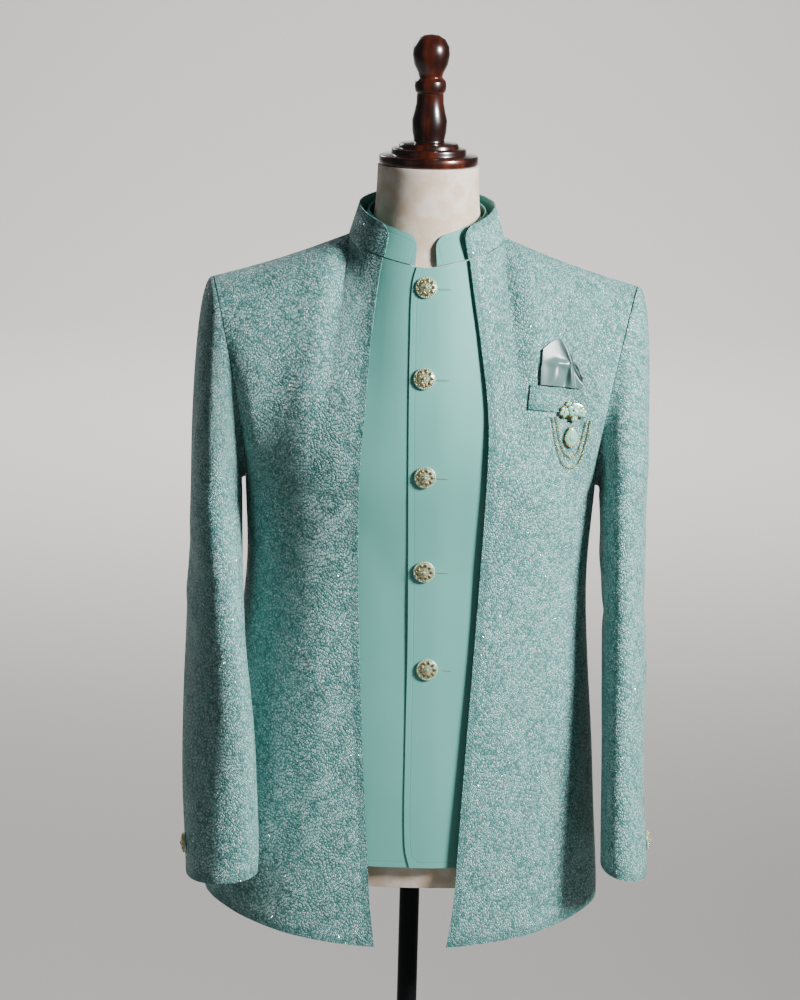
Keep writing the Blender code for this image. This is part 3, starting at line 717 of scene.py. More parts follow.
def dressed(obj: bpy.types.Object, looks: Sequence[bpy.types.Material]) -> bpy.types.Object:
    """Gives an object its materials: the outside's first, then the inside's."""
    obj.data.materials.clear()
    for look in looks:
        obj.data.materials.append(look)
    if len(looks) == 1:
        obj.data.polygons.foreach_set("material_index", [0] * len(obj.data.polygons))
    return obj


def placed(obj: bpy.types.Object, slot: str, *nodes: str) -> bpy.types.Object:
    """Puts a finished piece on the object: it rides on the root and stands for CAD nodes."""
    alone(obj)
    bpy.ops.object.transform_apply(location=True, rotation=True, scale=True)
    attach(obj, "root")
    if nodes:
        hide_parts(*nodes)
    log.info("%s: %d faces", obj.name, len(obj.data.polygons))
    return obj


def declared(laid: Laid) -> None:
    """Logs a sheet of cloth with its flat size.

    Args:
        laid: the sheet and its measures.
    """
    width, length = round(laid.width, 3) + 0.001, round(laid.length, 3) + 0.001
    area = min(laid.area, width * length)
    log.info("sheet %s: %.3f x %.3f m, %.4f m2", laid.obj.name, width, length, area)


# ---------------------------------------------------------------- finishes


def linear(code: str) -> tuple[float, float, float, float]:
    """Turns an sRGB hex code into a linear colour.

    Args:
        code: such as "8fb5ae".

    Returns:
        Red, green, blue and alpha.
    """

    def channel(pair: str) -> float:
        """One channel, linear."""
        value = int(pair, 16) / 255
        return value / 12.92 if value <= 0.04045 else ((value + 0.055) / 1.055) ** 2.4

    return (*(channel(code[k : k + 2]) for k in (0, 2, 4)), 1.0)


class Nodes:
    """A material's node tree, to which nodes are added with their settings and links."""

    def __init__(self, name: str) -> None:
        """Starts a material with one Principled shader.

        Args:
            name: the material's name.
        """
        self.material = bpy.data.materials.new(name)
        self.material.use_nodes = True
        self.tree = self.material.node_tree
        self.shader = self.tree.nodes["Principled BSDF"]

    def add(self, kind: str, settings: dict | None = None, **inputs: object) -> bpy.types.Node:
        """Adds a node.

        Args:
            kind: the node's type, without ShaderNode.
            settings: its properties.
            inputs: its sockets by number (i0, i1) or name, each a value or another socket.

        Returns:
            The node.
        """
        node = self.tree.nodes.new("ShaderNode" + kind)
        for key, value in (settings or {}).items():
            setattr(node, key, value)
        for key, value in inputs.items():
            digits = key[1:]
            socket = node.inputs[int(digits) if key[0] == "i" and digits.isdigit() else key]
            self.give(socket, value)
        return node

    def give(self, socket: bpy.types.NodeSocket, value: object) -> None:
        """Links a socket to another socket, or sets its value."""
        if isinstance(value, bpy.types.NodeSocket):
            self.tree.links.new(value, socket)
        else:
            socket.default_value = value

    def shade(self, **inputs: object) -> None:
        """Sets or links the Principled shader's sockets, spaces in their names as underscores."""
        for key, value in inputs.items():
            self.give(self.shader.inputs[key.replace("_", " ")], value)

    def math(self, operation: str, a: object, b: object = 0.0, clamp: bool = False) -> object:
        """Adds a Math node and returns its output."""
        node = self.add("Math", {"operation": operation, "use_clamp": clamp}, i0=a, i1=b)
        return node.outputs[0]

    def mix(self, share: object, a: object, b: object) -> object:
        """Mixes two colours."""
        node = self.add("MixRGB", None, i0=share, i1=a, i2=b)
        return node.outputs[0]

    def step(
        self, value: object, low: float, high: float, a: float = 0.0, b: float = 1.0
    ) -> object:
        """Maps low…high smoothly to a…b."""
        node = self.add("MapRange", {"interpolation_type": "SMOOTHSTEP"}, i0=value)
        for number, limit in zip((1, 2, 3, 4), (low, high, a, b)):
            node.inputs[number].default_value = limit
        return node.outputs[0]

    def bump(self, height: object, distance: float, strength: float = 1.0) -> None:
        """Links a bump of a given depth, in metres, to the shader."""
        node = self.add("Bump", None, Strength=strength, Distance=distance, Height=height)
        self.give(self.shader.inputs["Normal"], node.outputs[0])

    def metres(self) -> object:
        """The piece's UV map, which is in metres."""
        return self.add("UVMap", {"uv_map": "UVMap"}).outputs[0]

    def voronoi(
        self, vector: object, scale: float, random: float, feature: str = "F1"
    ) -> bpy.types.Node:
        """Adds a flat Voronoi pattern with so many cells to the unit."""
        settings = {"voronoi_dimensions": "2D", "feature": feature}
        return self.add("TexVoronoi", settings, Vector=vector, Scale=scale, Randomness=random)

    def noise(self, vector: object, scale: float, detail: float = 2.0) -> object:
        """Adds noise and returns its value."""
        return self.add("TexNoise", None, Vector=vector, Scale=scale, Detail=detail).outputs[0]


@dataclass(frozen=True)
class EmbroideredCloth:
    """Aqua ground cloth covered by rice-grain stitches, with a lattice of darker flower motifs."""

    ground: str = "2f706c"
    thread: str = "a5dad8"
    shine: str = "e0f7f6"
    motif: str = "245f5b"
    patch: float = 0.0115
    grain_wide: float = 0.0018
    grain_long: float = 0.0040
    lattice_wide: float = 0.052
    lattice_tall: float = 0.074
    motif_radius: float = 0.0150
    relief: float = 0.0007

    def build(self) -> bpy.types.Material:
        """Builds the material, in metres on the piece's UV map."""
        n = Nodes("embroidered cloth")
        uv = n.metres()
        cell = n.voronoi(uv, 1 / self.patch, 1.0)
        split = n.add("SeparateColor", None, Color=cell.outputs["Color"])
        angle = n.math("MULTIPLY_ADD", split.outputs[0], 2.3)
        angle.node.inputs[2].default_value = -1.15
        turn = n.add("VectorRotate", {"rotation_type": "Z_AXIS"}, Vector=uv, Angle=angle)
        long = n.add("Mapping", {"vector_type": "POINT"}, Vector=turn.outputs[0])
        long.inputs["Scale"].default_value = (1 / self.grain_wide, 1 / self.grain_long, 1)
        grain = n.voronoi(long.outputs[0], 1.0, 0.75)
        tone = n.add("SeparateColor", None, Color=grain.outputs["Color"])
        edge = n.voronoi(long.outputs[0], 1.0, 0.75, "DISTANCE_TO_EDGE")
        stitch = n.step(edge.outputs["Distance"], 0.05, 0.20)
        rib = n.step(edge.outputs["Distance"], 0.03, 0.42)
        # The lattice: two slanting coordinates whose whole numbers are the motifs' centres
        spot = n.add("SeparateXYZ", None, Vector=uv)
        x = n.math("DIVIDE", spot.outputs[0], self.lattice_wide)
        y = n.math("DIVIDE", spot.outputs[1], self.lattice_tall)
        a, b = n.math("ADD", x, y), n.math("SUBTRACT", x, y)
        fa = n.math("SUBTRACT", n.math("FRACT", a), 0.5)
        fb = n.math("SUBTRACT", n.math("FRACT", b), 0.5)
        dx = n.math("MULTIPLY", n.math("ADD", fa, fb), self.lattice_wide / 2)
        dy = n.math("MULTIPLY", n.math("SUBTRACT", fa, fb), self.lattice_tall / 2)
        away = n.math("SQRT", n.math("ADD", n.math("MULTIPLY", dx, dx), n.math("MULTIPLY", dy, dy)))
        round_it = n.math("ARCTAN2", dy, dx)
        petals = n.math("COSINE", n.math("MULTIPLY", round_it, 6.0))
        rim = n.math("MULTIPLY_ADD", petals, 0.14)
        rim.node.inputs[2].default_value = 0.86
        flower = n.math("DIVIDE", away, n.math("MULTIPLY", rim, self.motif_radius))
        inside = n.step(flower, 1.05, 0.75)
        outline = n.math("MULTIPLY", inside, n.step(flower, 0.45, 0.75))
        band = n.add("Attribute", {"attribute_name": "band"}).outputs["Fac"]
        plain = n.step(band, 0.0090, 0.0070)
        drift = n.noise(uv, 38.0)
        base = n.mix(n.step(drift, 0.3, 0.7), linear(self.ground), linear("41857f"))
        base = n.mix(n.math("MULTIPLY", outline, 0.75), base, linear(self.motif))
        lit = n.mix(n.step(tone.outputs[1], 0.55, 1.0), linear(self.thread), linear(self.shine))
        lit = n.mix(n.step(tone.outputs[2], 0.66, 0.80), lit, linear("5fa6a0"))
        shown = n.math(
            "MULTIPLY", stitch, n.math("SUBTRACT", 1.0, n.math("MULTIPLY", outline, 0.50))
        )
        shown = n.math("MULTIPLY", shown, n.math("SUBTRACT", 1.0, n.math("MULTIPLY", plain, 0.45)))
        colour = n.mix(shown, base, lit)
        spangle = n.voronoi(uv, 1 / 0.0085, 1.0)
        pick = n.add("SeparateColor", None, Color=spangle.outputs["Color"])
        chosen = n.step(pick.outputs[0], 0.80, 0.83)
        dot = n.math("MULTIPLY", n.step(spangle.outputs["Distance"], 0.17, 0.12), chosen)
        colour = n.mix(n.math("MULTIPLY", dot, 0.8), colour, linear("dff3ee"))
        n.shade(Base_Color=colour)
        n.shade(Metallic=n.math("MULTIPLY", dot, 0.7))
        rough = n.mix(dot, n.mix(shown, linear("d8d8d8"), linear("aeaeae")), linear("606060"))
        n.shade(Roughness=rough)
        n.shade(Sheen_Weight=0.25, Sheen_Roughness=0.4, Sheen_Tint=linear("d6efe9"))
        n.shade(Specular_IOR_Level=0.55)
        height = n.math("MULTIPLY", rib, n.math("SUBTRACT", 1.0, n.math("MULTIPLY", outline, 0.5)))
        n.bump(n.math("ADD", height, n.math("MULTIPLY", dot, 0.4)), self.relief, 1.0)
        return n.material


@dataclass(frozen=True)
class PlainCloth:
    """Smooth mint suiting with a very fine twill."""

    name: str = "plain mint suiting"
    colour: str = "67b2a8"
    thread: float = 0.0009
    roughness: float = 0.62

    def build(self) -> bpy.types.Material:
        """Builds the material, in metres on the piece's UV map."""
        n = Nodes(self.name)
        uv = n.metres()
        turn = n.add("Mapping", None, Vector=uv)
        turn.inputs["Rotation"].default_value = (0, 0, math.radians(28))
        wave = n.add(
            "TexWave", {"wave_type": "BANDS"}, Vector=turn.outputs[0], Scale=0.31 / self.thread
        )
        cloud = n.noise(uv, 9.0)
        tone = n.mix(n.step(cloud, 0.3, 0.7), linear(self.colour), linear("6db8ae"))
        band = n.add("Attribute", {"attribute_name": "band"}).outputs["Fac"]
        # A sunk line 5 to 7 mm in from the finished edges: bumped in, and darkened by painted shade
        # in its groove.
        shaded_ditch = n.math("MULTIPLY", n.step(band, 0.0050, 0.0057), n.step(band, 0.0068, 0.0060))
        n.shade(Base_Color=n.mix(n.math("MULTIPLY", shaded_ditch, 0.22), tone, linear("4b8f88")))
        n.shade(Roughness=self.roughness, Sheen_Weight=0.35, Sheen_Roughness=0.45)
        n.shade(Sheen_Tint=linear("d9f2ec"), Specular_IOR_Level=0.4)
        n.bump(n.math("SUBTRACT", wave.outputs[1], n.math("MULTIPLY", shaded_ditch, 3.0)), 0.00006, 0.6)
        return n.material


@dataclass(frozen=True)
class Lining:
    """Slippery lining inside the jackets and the sleeves."""

    colour: str = "5a9c95"

    def build(self) -> bpy.types.Material:
        """Builds the material."""
        n = Nodes("acetate lining")
        n.shade(Base_Color=linear(self.colour), Roughness=0.42, Sheen_Weight=0.15)
        return n.material


@dataclass(frozen=True)
class Satin:
    """Grey-green satin, bright along its folds."""

    colour: str = "5c7b78"

    def build(self) -> bpy.types.Material:
        """Builds the material, in metres on the piece's UV map."""
        n = Nodes("silk satin")
        uv = n.metres()
        fine = n.noise(uv, 900.0, 0.0)
        n.shade(Base_Color=linear(self.colour), Roughness=0.30, Specular_IOR_Level=0.7)
        n.shade(Anisotropic=0.6, Sheen_Weight=0.2, Sheen_Roughness=0.3)
        n.bump(fine, 0.00003, 0.3)
        return n.material


@dataclass(frozen=True)
class Linen:
    """Cream linen of the form, plainly woven."""

    colour: str = "dcc4aa"
    thread: float = 0.0011

    def build(self) -> bpy.types.Material:
        """Builds the material on Object coordinates, which are metres."""
        n = Nodes("cream linen")
        at = n.add("TexCoord").outputs["Object"]
        warp = n.add(
            "TexWave", {"wave_type": "BANDS", "bands_direction": "X"},
            Vector=at, Scale=0.31 / self.thread, Distortion=0.6,
        )
        weft = n.add(
            "TexWave", {"wave_type": "BANDS", "bands_direction": "Z"},
            Vector=at, Scale=0.31 / self.thread, Distortion=0.6,
        )
        weave = n.math("MULTIPLY", warp.outputs[1], weft.outputs[1])
        slub = n.noise(at, 60.0, 3.0)
        tone = n.mix(n.step(slub, 0.35, 0.65), linear(self.colour), linear("eaddce"))
        n.shade(Base_Color=n.mix(n.math("MULTIPLY", weave, 0.18), tone, linear("c4b19c")))
        n.shade(Roughness=0.85, Sheen_Weight=0.2)
        n.bump(weave, 0.00015, 0.6)
        return n.material


@dataclass(frozen=True)
class PolishedWood:
    """Dark reddish wood under a glossy varnish."""

    dark: str = "1c0703"
    light: str = "561f0b"

    def build(self) -> bpy.types.Material:
        """Builds the material: grain along the turned axis, on Object coordinates."""
        n = Nodes("varnished wood")
        at = n.add("TexCoord").outputs["Object"]
        long = n.add("Mapping", None, Vector=at)
        long.inputs["Scale"].default_value = (1.0, 1.0, 0.10)
        grain = n.noise(long.outputs[0], 95.0, 5.0)
        figure = n.noise(long.outputs[0], 28.0, 3.0)
        both = n.math("MULTIPLY_ADD", grain, 0.55, False)
        n.give(both.node.inputs[2], n.math("MULTIPLY", figure, 0.45))
        n.shade(Base_Color=n.mix(n.step(both, 0.44, 0.66), linear(self.dark), linear(self.light)))
        n.shade(Roughness=0.28, Coat_Weight=0.9, Coat_Roughness=0.06, Specular_IOR_Level=0.5)
        n.bump(grain, 0.0001, 0.25)
        return n.material


@dataclass(frozen=True)
class Metal:
    """A plain metal finish."""

    name: str
    colour: str
    roughness: float
    metallic: float = 1.0

    def build(self) -> bpy.types.Material:
        """Builds the material."""
        n = Nodes(self.name)
        at = n.add("TexCoord").outputs["Object"]
        cloud = n.noise(at, 320.0, 2.0)
        rough = n.step(cloud, 0.2, 0.8, self.roughness * 0.8, self.roughness * 1.25)
        n.shade(Base_Color=linear(self.colour), Metallic=self.metallic, Roughness=rough)
        return n.material


@dataclass(frozen=True)
class Enamel:
    """Mint enamel on gilt, glossy."""

    name: str = "mint enamel"
    colour: str = "8fd0bb"

    def build(self) -> bpy.types.Material:
        """Builds the material."""
        n = Nodes(self.name)
        n.shade(Base_Color=linear(self.colour), Roughness=0.25, Coat_Weight=0.8, Coat_Roughness=0.1)
        n.shade(Specular_IOR_Level=0.6)
        return n.material


@dataclass
class Finishes:
    """Every material of the scene, built once."""

    embroidered: bpy.types.Material
    plain: bpy.types.Material
    lining: bpy.types.Material
    satin: bpy.types.Material
    linen: bpy.types.Material
    wood: bpy.types.Material
    steel: bpy.types.Material
    gilt: bpy.types.Material
    pale_gilt: bpy.types.Material
    hole_shade: bpy.types.Material
    enamel: bpy.types.Material
    thread: bpy.types.Material


def build_finishes() -> Finishes:
    """Builds the scene's materials."""
    return Finishes(
        embroidered=EmbroideredCloth().build(),
        plain=PlainCloth().build(),
        lining=Lining().build(),
        satin=Satin().build(),
        linen=Linen().build(),
        wood=PolishedWood().build(),
        steel=Metal("black painted steel", "17191c", 0.42, 0.6).build(),
        gilt=Metal("old gilt", "dcbf7c", 0.26).build(),
        pale_gilt=Metal("pale gilt", "c9dcc0", 0.34, 0.55).build(),
        # Painted shade: a dark finish for the discs that stand in the buttons' pierced holes.
        hole_shade=Metal("painted hole shade", "4a5443", 0.7, 0.2).build(),
        enamel=Enamel().build(),
        thread=Enamel("silk buttonhole thread", "7da79e").build(),
    )


# ---------------------------------------------------------------- the garment


def spread(k: float, columns: int) -> float:
    """Column of a body piece: one of them falls exactly on each neck point.

    Args:
        k: columns away from the centre, with its sign.
        columns: columns of one half.

    Returns:
        The column's share of the way to the side.
    """
    inner = round(columns * NECK_SHARE)
    if abs(k) <= inner:
        share = abs(k) / inner * NECK_SHARE
    else:
        share = NECK_SHARE + (abs(k) - inner) / (columns - inner) * (1 - NECK_SHARE)
    return math.copysign(max(share, 1e-9), k)


def body_rows(low: int, high: int, trim: float) -> list[float]:
    """Rows from the hem to just short of the shoulder seam."""
    return [-1 + i / low for i in range(low)] + [(1 - trim) * i / high for i in range(high + 1)]


@dataclass(frozen=True)
class PanelSize:
    """How finely a body layer is laid, and its seam allowance."""

    half_columns: int = 40
    low_rows: int = 56
    high_rows: int = 44
    trim: float = 0.0018
    side_gap: float = 0.0011


def hub_of_body(rows: Sequence[float]) -> Callable[[int], Vector]:
    """Gives the body's axis at each row."""
    return lambda j: Vector((0, 0, UNDERARM_Z - 0.02 + (0.16 if rows[j] > 0 else 0.45) * rows[j]))


OUTER_RIGHT_FOLDS = (
    Fold(0.62, 0.00, 0.55, 0.46, 0.020, 0.0026),
    Fold(0.86, 0.02, 0.90, 0.40, 0.016, -0.0018),
    Fold(0.30, 0.00, 0.24, 0.33, 0.018, -0.0016),
    Fold(0.96, 0.74, 0.62, 0.60, 0.016, 0.0022),
    Fold(0.92, 0.83, 0.56, 0.78, 0.013, -0.0010),
    Fold(0.44, 0.10, 0.50, 0.62, 0.026, 0.0014),
    Fold(0.12, 0.02, 0.15, 0.25, 0.012, 0.0012),
)
OUTER_LEFT_FOLDS = (
    Fold(0.42, 0.00, 0.50, 0.42, 0.021, 0.0024),
    Fold(0.70, 0.01, 0.66, 0.28, 0.014, -0.0017),
    Fold(0.20, 0.00, 0.22, 0.48, 0.016, -0.0013),
    Fold(0.02, 0.70, 0.40, 0.57, 0.017, 0.0020),
    Fold(0.10, 0.86, 0.44, 0.83, 0.012, -0.0009),
    Fold(0.88, 0.03, 0.82, 0.52, 0.018, 0.0013),
    Fold(0.55, 0.30, 0.46, 0.55, 0.022, -0.0010),
)
OUTER_BACK_FOLDS = (
    Fold(0.22, 0.00, 0.27, 0.50, 0.022, 0.0026),
    Fold(0.40, 0.00, 0.37, 0.36, 0.017, -0.0016),
    Fold(0.58, 0.00, 0.61, 0.44, 0.020, 0.0021),
    Fold(0.80, 0.01, 0.76, 0.53, 0.024, 0.0024),
    Fold(0.69, 0.02, 0.70, 0.29, 0.014, -0.0018),
    Fold(0.06, 0.70, 0.30, 0.55, 0.019, 0.0020),
    Fold(0.95, 0.72, 0.67, 0.58, 0.017, 0.0023),
    Fold(0.30, 0.93, 0.70, 0.925, 0.010, 0.0008),
    Fold(0.12, 0.84, 0.34, 0.74, 0.013, -0.0009),
)
INNER_RIGHT_FOLDS = (
    Fold(0.50, 0.00, 0.44, 0.40, 0.020, 0.0010),
    Fold(0.78, 0.30, 0.60, 0.55, 0.018, -0.0012),
)
INNER_LEFT_FOLDS = (
    Fold(0.24, 0.00, 0.20, 0.45, 0.017, 0.0008),
    Fold(0.52, 0.02, 0.60, 0.38, 0.022, -0.0011),
)
INNER_BACK_FOLDS = (
    Fold(0.35, 0.00, 0.38, 0.45, 0.022, -0.0012),
    Fold(0.64, 0.00, 0.60, 0.38, 0.018, -0.0010),
    Fold(0.50, 0.05, 0.49, 0.30, 0.026, 0.0010),
)
RIGHT_TOP_FOLDS = (
    Fold(0.10, 0.55, 0.62, 0.47, 0.013, -0.0026),
    Fold(0.05, 0.49, 0.50, 0.38, 0.012, 0.0026),
    Fold(0.22, 0.43, 0.66, 0.33, 0.011, -0.0018),
    Fold(0.85, 0.80, 0.48, 0.64, 0.015, 0.0018),
    Fold(0.30, 0.76, 0.20, 0.60, 0.013, -0.0016),
    Fold(0.50, 0.08, 0.60, 0.34, 0.018, 0.0014),
    Fold(0.18, 0.14, 0.34, 0.27, 0.011, -0.0012),
)
RIGHT_UNDER_FOLDS = (
    Fold(0.20, 0.52, 0.84, 0.46, 0.014, -0.0024),
    Fold(0.30, 0.44, 0.90, 0.36, 0.012, 0.0022),
    Fold(0.15, 0.22, 0.55, 0.30, 0.014, 0.0015),
    Fold(0.40, 0.72, 0.70, 0.58, 0.015, -0.0014),
)
LEFT_TOP_FOLDS = (
    Fold(0.12, 0.50, 0.58, 0.44, 0.014, -0.0022),
    Fold(0.42, 0.56, 0.88, 0.51, 0.013, 0.0020),
    Fold(0.16, 0.41, 0.46, 0.32, 0.011, 0.0018),
    Fold(0.60, 0.12, 0.52, 0.37, 0.019, 0.0015),
    Fold(0.20, 0.82, 0.46, 0.67, 0.016, 0.0016),
    Fold(0.74, 0.70, 0.66, 0.58, 0.012, -0.0014),
)
LEFT_UNDER_FOLDS = (
    Fold(0.14, 0.48, 0.74, 0.43, 0.013, -0.0023),
    Fold(0.22, 0.57, 0.80, 0.53, 0.015, 0.0018),
    Fold(0.50, 0.15, 0.42, 0.33, 0.018, 0.0013),
    Fold(0.62, 0.74, 0.40, 0.62, 0.014, -0.0013),
)


@dataclass(frozen=True)
class OuterJacket:
    """The embroidered open-front jacket: two fronts, back, collar and two-piece sleeves."""

    looks: Finishes
    size: PanelSize = PanelSize()
    sleeve_columns: int = 44
    sleeve_low: int = 72
    sleeve_high: int = 20
    collar_columns: int = 130
    collar_rows: int = 10

    def build(self) -> None:
        """Builds and dresses every piece, and logs its flat size."""
        self.front(Side.RIGHT, OUTER_RIGHT_FOLDS)
        self.front(Side.LEFT, OUTER_LEFT_FOLDS)
        self.back()
        self.collar()
        for sleeve, top, under in (
            (RIGHT_SLEEVE, RIGHT_TOP_FOLDS, RIGHT_UNDER_FOLDS),
            (LEFT_SLEEVE, LEFT_TOP_FOLDS, LEFT_UNDER_FOLDS),
        ):
            self.sleeve(sleeve, "top", FRONT_SEAM, BACK_SEAM, top)
            self.sleeve(sleeve, "under", BACK_SEAM, 1 + FRONT_SEAM, under)

    def finish(self, laid: Laid, node: str, held: str, rests_on: Sequence[str]) -> None:
        """Gives a piece its wall, cloth and place.

        Args:
            laid: the piece's surface.
            node: the CAD node that it stands for.
            held: how it is held; not used.
            rests_on: what it hangs from or lies on; not used.
        """
        dressed(laid.obj, (self.looks.embroidered, self.looks.lining))
        walled(laid.obj, OUTER_CLOTH)
        placed(laid.obj, "embroidered_cloth", node)
        declared(laid)

    def front(self, side: Side, folds: Sequence[Fold]) -> None:
        """One front, from its edge to the side seam and armhole."""
        word = side.name.lower()
        rows = body_rows(self.size.low_rows, self.size.high_rows, self.size.trim)
        ends = [OUTER.edge(OUTER_EDGES, word, v) for v in rows]
        columns = self.size.half_columns

        def place(i: int, j: int) -> Vector:
            """Point of the front; its columns spread from the edge to the side seam."""
            end, last = ends[j], side.value * (1 - self.size.side_gap)
            neck = side.value * NECK_SHARE
            first = round(columns * 0.26)
            if i <= first:
                u = end + (neck - end) * i / first
            else:
                u = neck + (last - neck) * (i - first) / (columns - first)
            return OUTER.point(Face.FRONT, u, rows[j])

        # Seen from outside, the right front's edge is its right side, the left front's its left
        hub = hub_of_body(rows)
        laid = lay(
            f"outer_front_{word}_cloth", columns, len(rows) - 1, place, hub, folds, "lb"
        )
        self.finish(laid, f"outer_front_{word}", "hung", ["form_torso", "outer_back"])

    def back(self) -> None:
        """The back, whole from side seam to side seam."""
        rows = body_rows(self.size.low_rows, self.size.high_rows, self.size.trim)
        half = self.size.half_columns + 8

        def place(i: int, j: int) -> Vector:
            """Point of the back."""
            across = (1 - self.size.side_gap) * spread(i - half, half)
            return OUTER.point(Face.BACK, across, rows[j])

        hub = hub_of_body(rows)
        laid = lay(
            "outer_back_cloth", 2 * half, len(rows) - 1, place, hub, OUTER_BACK_FOLDS, "b"
        )
        self.finish(laid, "outer_back", "hung", ["form_torso", "outer_front_left"])

    def collar(self) -> None:
        """The stand collar."""

        def place(i: int, j: int) -> Vector:
            """Point of the band, its columns closer together near its ends."""
            k = 1 - 2 * i / self.collar_columns
            s = 0.5 - 0.5 * math.copysign(1 - (1 - abs(k)) ** 1.35, k)
            return OUTER_COLLAR.point(s, j / self.collar_rows)

        laid = lay(
            "outer_collar_cloth", self.collar_columns, self.collar_rows, place,
            lambda j: Vector((0, -0.01, 1.46)), (), "lrt",
        )
        self.finish(laid, "outer_collar", "hung", ["outer_back"])

    def sleeve(
        self, sleeve: Sleeve, part: str, start: float, end: float, folds: Sequence[Fold]
    ) -> None:
        """One piece of a sleeve, between two shares of the way round."""
        levels = [-1 + i / self.sleeve_low for i in range(self.sleeve_low)]
        levels += [i / self.sleeve_high for i in range(self.sleeve_high + 1)]
        trim = 0.0012

        def place(i: int, j: int) -> Vector:
            """Point of the piece."""
            q = start + trim + (end - start - 2 * trim) * i / self.sleeve_columns
            return sleeve.point(q, levels[j])

        def hub(j: int) -> Vector:
            """Middle of the sleeve at one level."""
            around = [sleeve.point(q / 8, levels[j]) for q in range(8)]
            return sum(around, Vector()) / 8

        word = sleeve.side.name.lower()
        laid = lay(
            f"sleeve_{word}_{part}_cloth",
            self.sleeve_columns,
            len(levels) - 1,
            place,
            hub,
            folds,
            "b",
        )
        self.finish(laid, f"sleeve_{word}_{part}", "hung", ["outer_back", "form_torso"])


@dataclass(frozen=True)
class InnerJacket:
    """The plain closed-neck jacket under it: two fronts, back and band collar."""

    looks: Finishes
    size: PanelSize = PanelSize(half_columns=34, low_rows=50, high_rows=40)
    collar_columns: int = 110
    collar_rows: int = 8

    def build(self) -> None:
        """Builds and dresses every piece, and logs its flat size."""
        self.front(Side.RIGHT, INNER_RIGHT_FOLDS)
        self.front(Side.LEFT, INNER_LEFT_FOLDS)
        self.back()
        self.collar()

    def finish(self, laid: Laid, node: str) -> None:
        """Gives a piece its wall, cloth and place."""
        dressed(laid.obj, (self.looks.plain, self.looks.lining))
        walled(laid.obj, INNER_CLOTH)
        placed(laid.obj, "plain_cloth", node)
        declared(laid)

    def front(self, side: Side, folds: Sequence[Fold]) -> None:
        """One front; the left one laps over the right one."""
        word = side.name.lower()
        rows = body_rows(self.size.low_rows, self.size.high_rows, self.size.trim)
        ends = [INNER.edge(INNER_EDGES, word, v) for v in rows]
        columns = self.size.half_columns
        first = round(columns * 0.32)

        def place(i: int, j: int) -> Vector:
            """Point of the front, lifted where it laps over the other one."""
            last, neck = side.value * (1 - self.size.side_gap), side.value * NECK_SHARE
            if i <= first:
                u = ends[j] + (neck - ends[j]) * i / first
            else:
                u = neck + (last - neck) * (i - first) / (columns - first)
            p = INNER.point(Face.FRONT, u, rows[j])
            if side is Side.LEFT:
                lift = LAP_LIFT * (1 - ramp(LAP_FLAT, LAP_END, p.x))
                p = p + INNER.normal(Face.FRONT, u, rows[j]) * lift
            return p

        hub = hub_of_body(rows)
        laid = lay(
            f"inner_front_{word}_cloth", columns, len(rows) - 1, place, hub, folds, "lb"
        )
        self.finish(laid, f"inner_front_{word}")

    def back(self) -> None:
        """The back, whole from side seam to side seam."""
        rows = body_rows(self.size.low_rows, self.size.high_rows, self.size.trim)
        half = self.size.half_columns

        def place(i: int, j: int) -> Vector:
            """Point of the back."""
            across = (1 - self.size.side_gap) * spread(i - half, half)
            return INNER.point(Face.BACK, across, rows[j])

        hub = hub_of_body(rows)
        laid = lay(
            "inner_back_cloth", 2 * half, len(rows) - 1, place, hub, INNER_BACK_FOLDS, "b"
        )
        self.finish(laid, "inner_back")

    def collar(self) -> None:
        """The band collar."""

        def place(i: int, j: int) -> Vector:
            """Point of the band, its columns closer together near its ends."""
            k = 1 - 2 * i / self.collar_columns
            s = 0.5 - 0.5 * math.copysign(1 - (1 - abs(k)) ** 1.35, k)
            return INNER_COLLAR.point(s, j / self.collar_rows)

        laid = lay(
            "inner_collar_cloth", self.collar_columns, self.collar_rows, place,
            lambda j: Vector((0, -0.01, 1.46)), (), "lrt",
        )
        self.finish(laid, "inner_collar")


# ---------------------------------------------------------------- form and stand


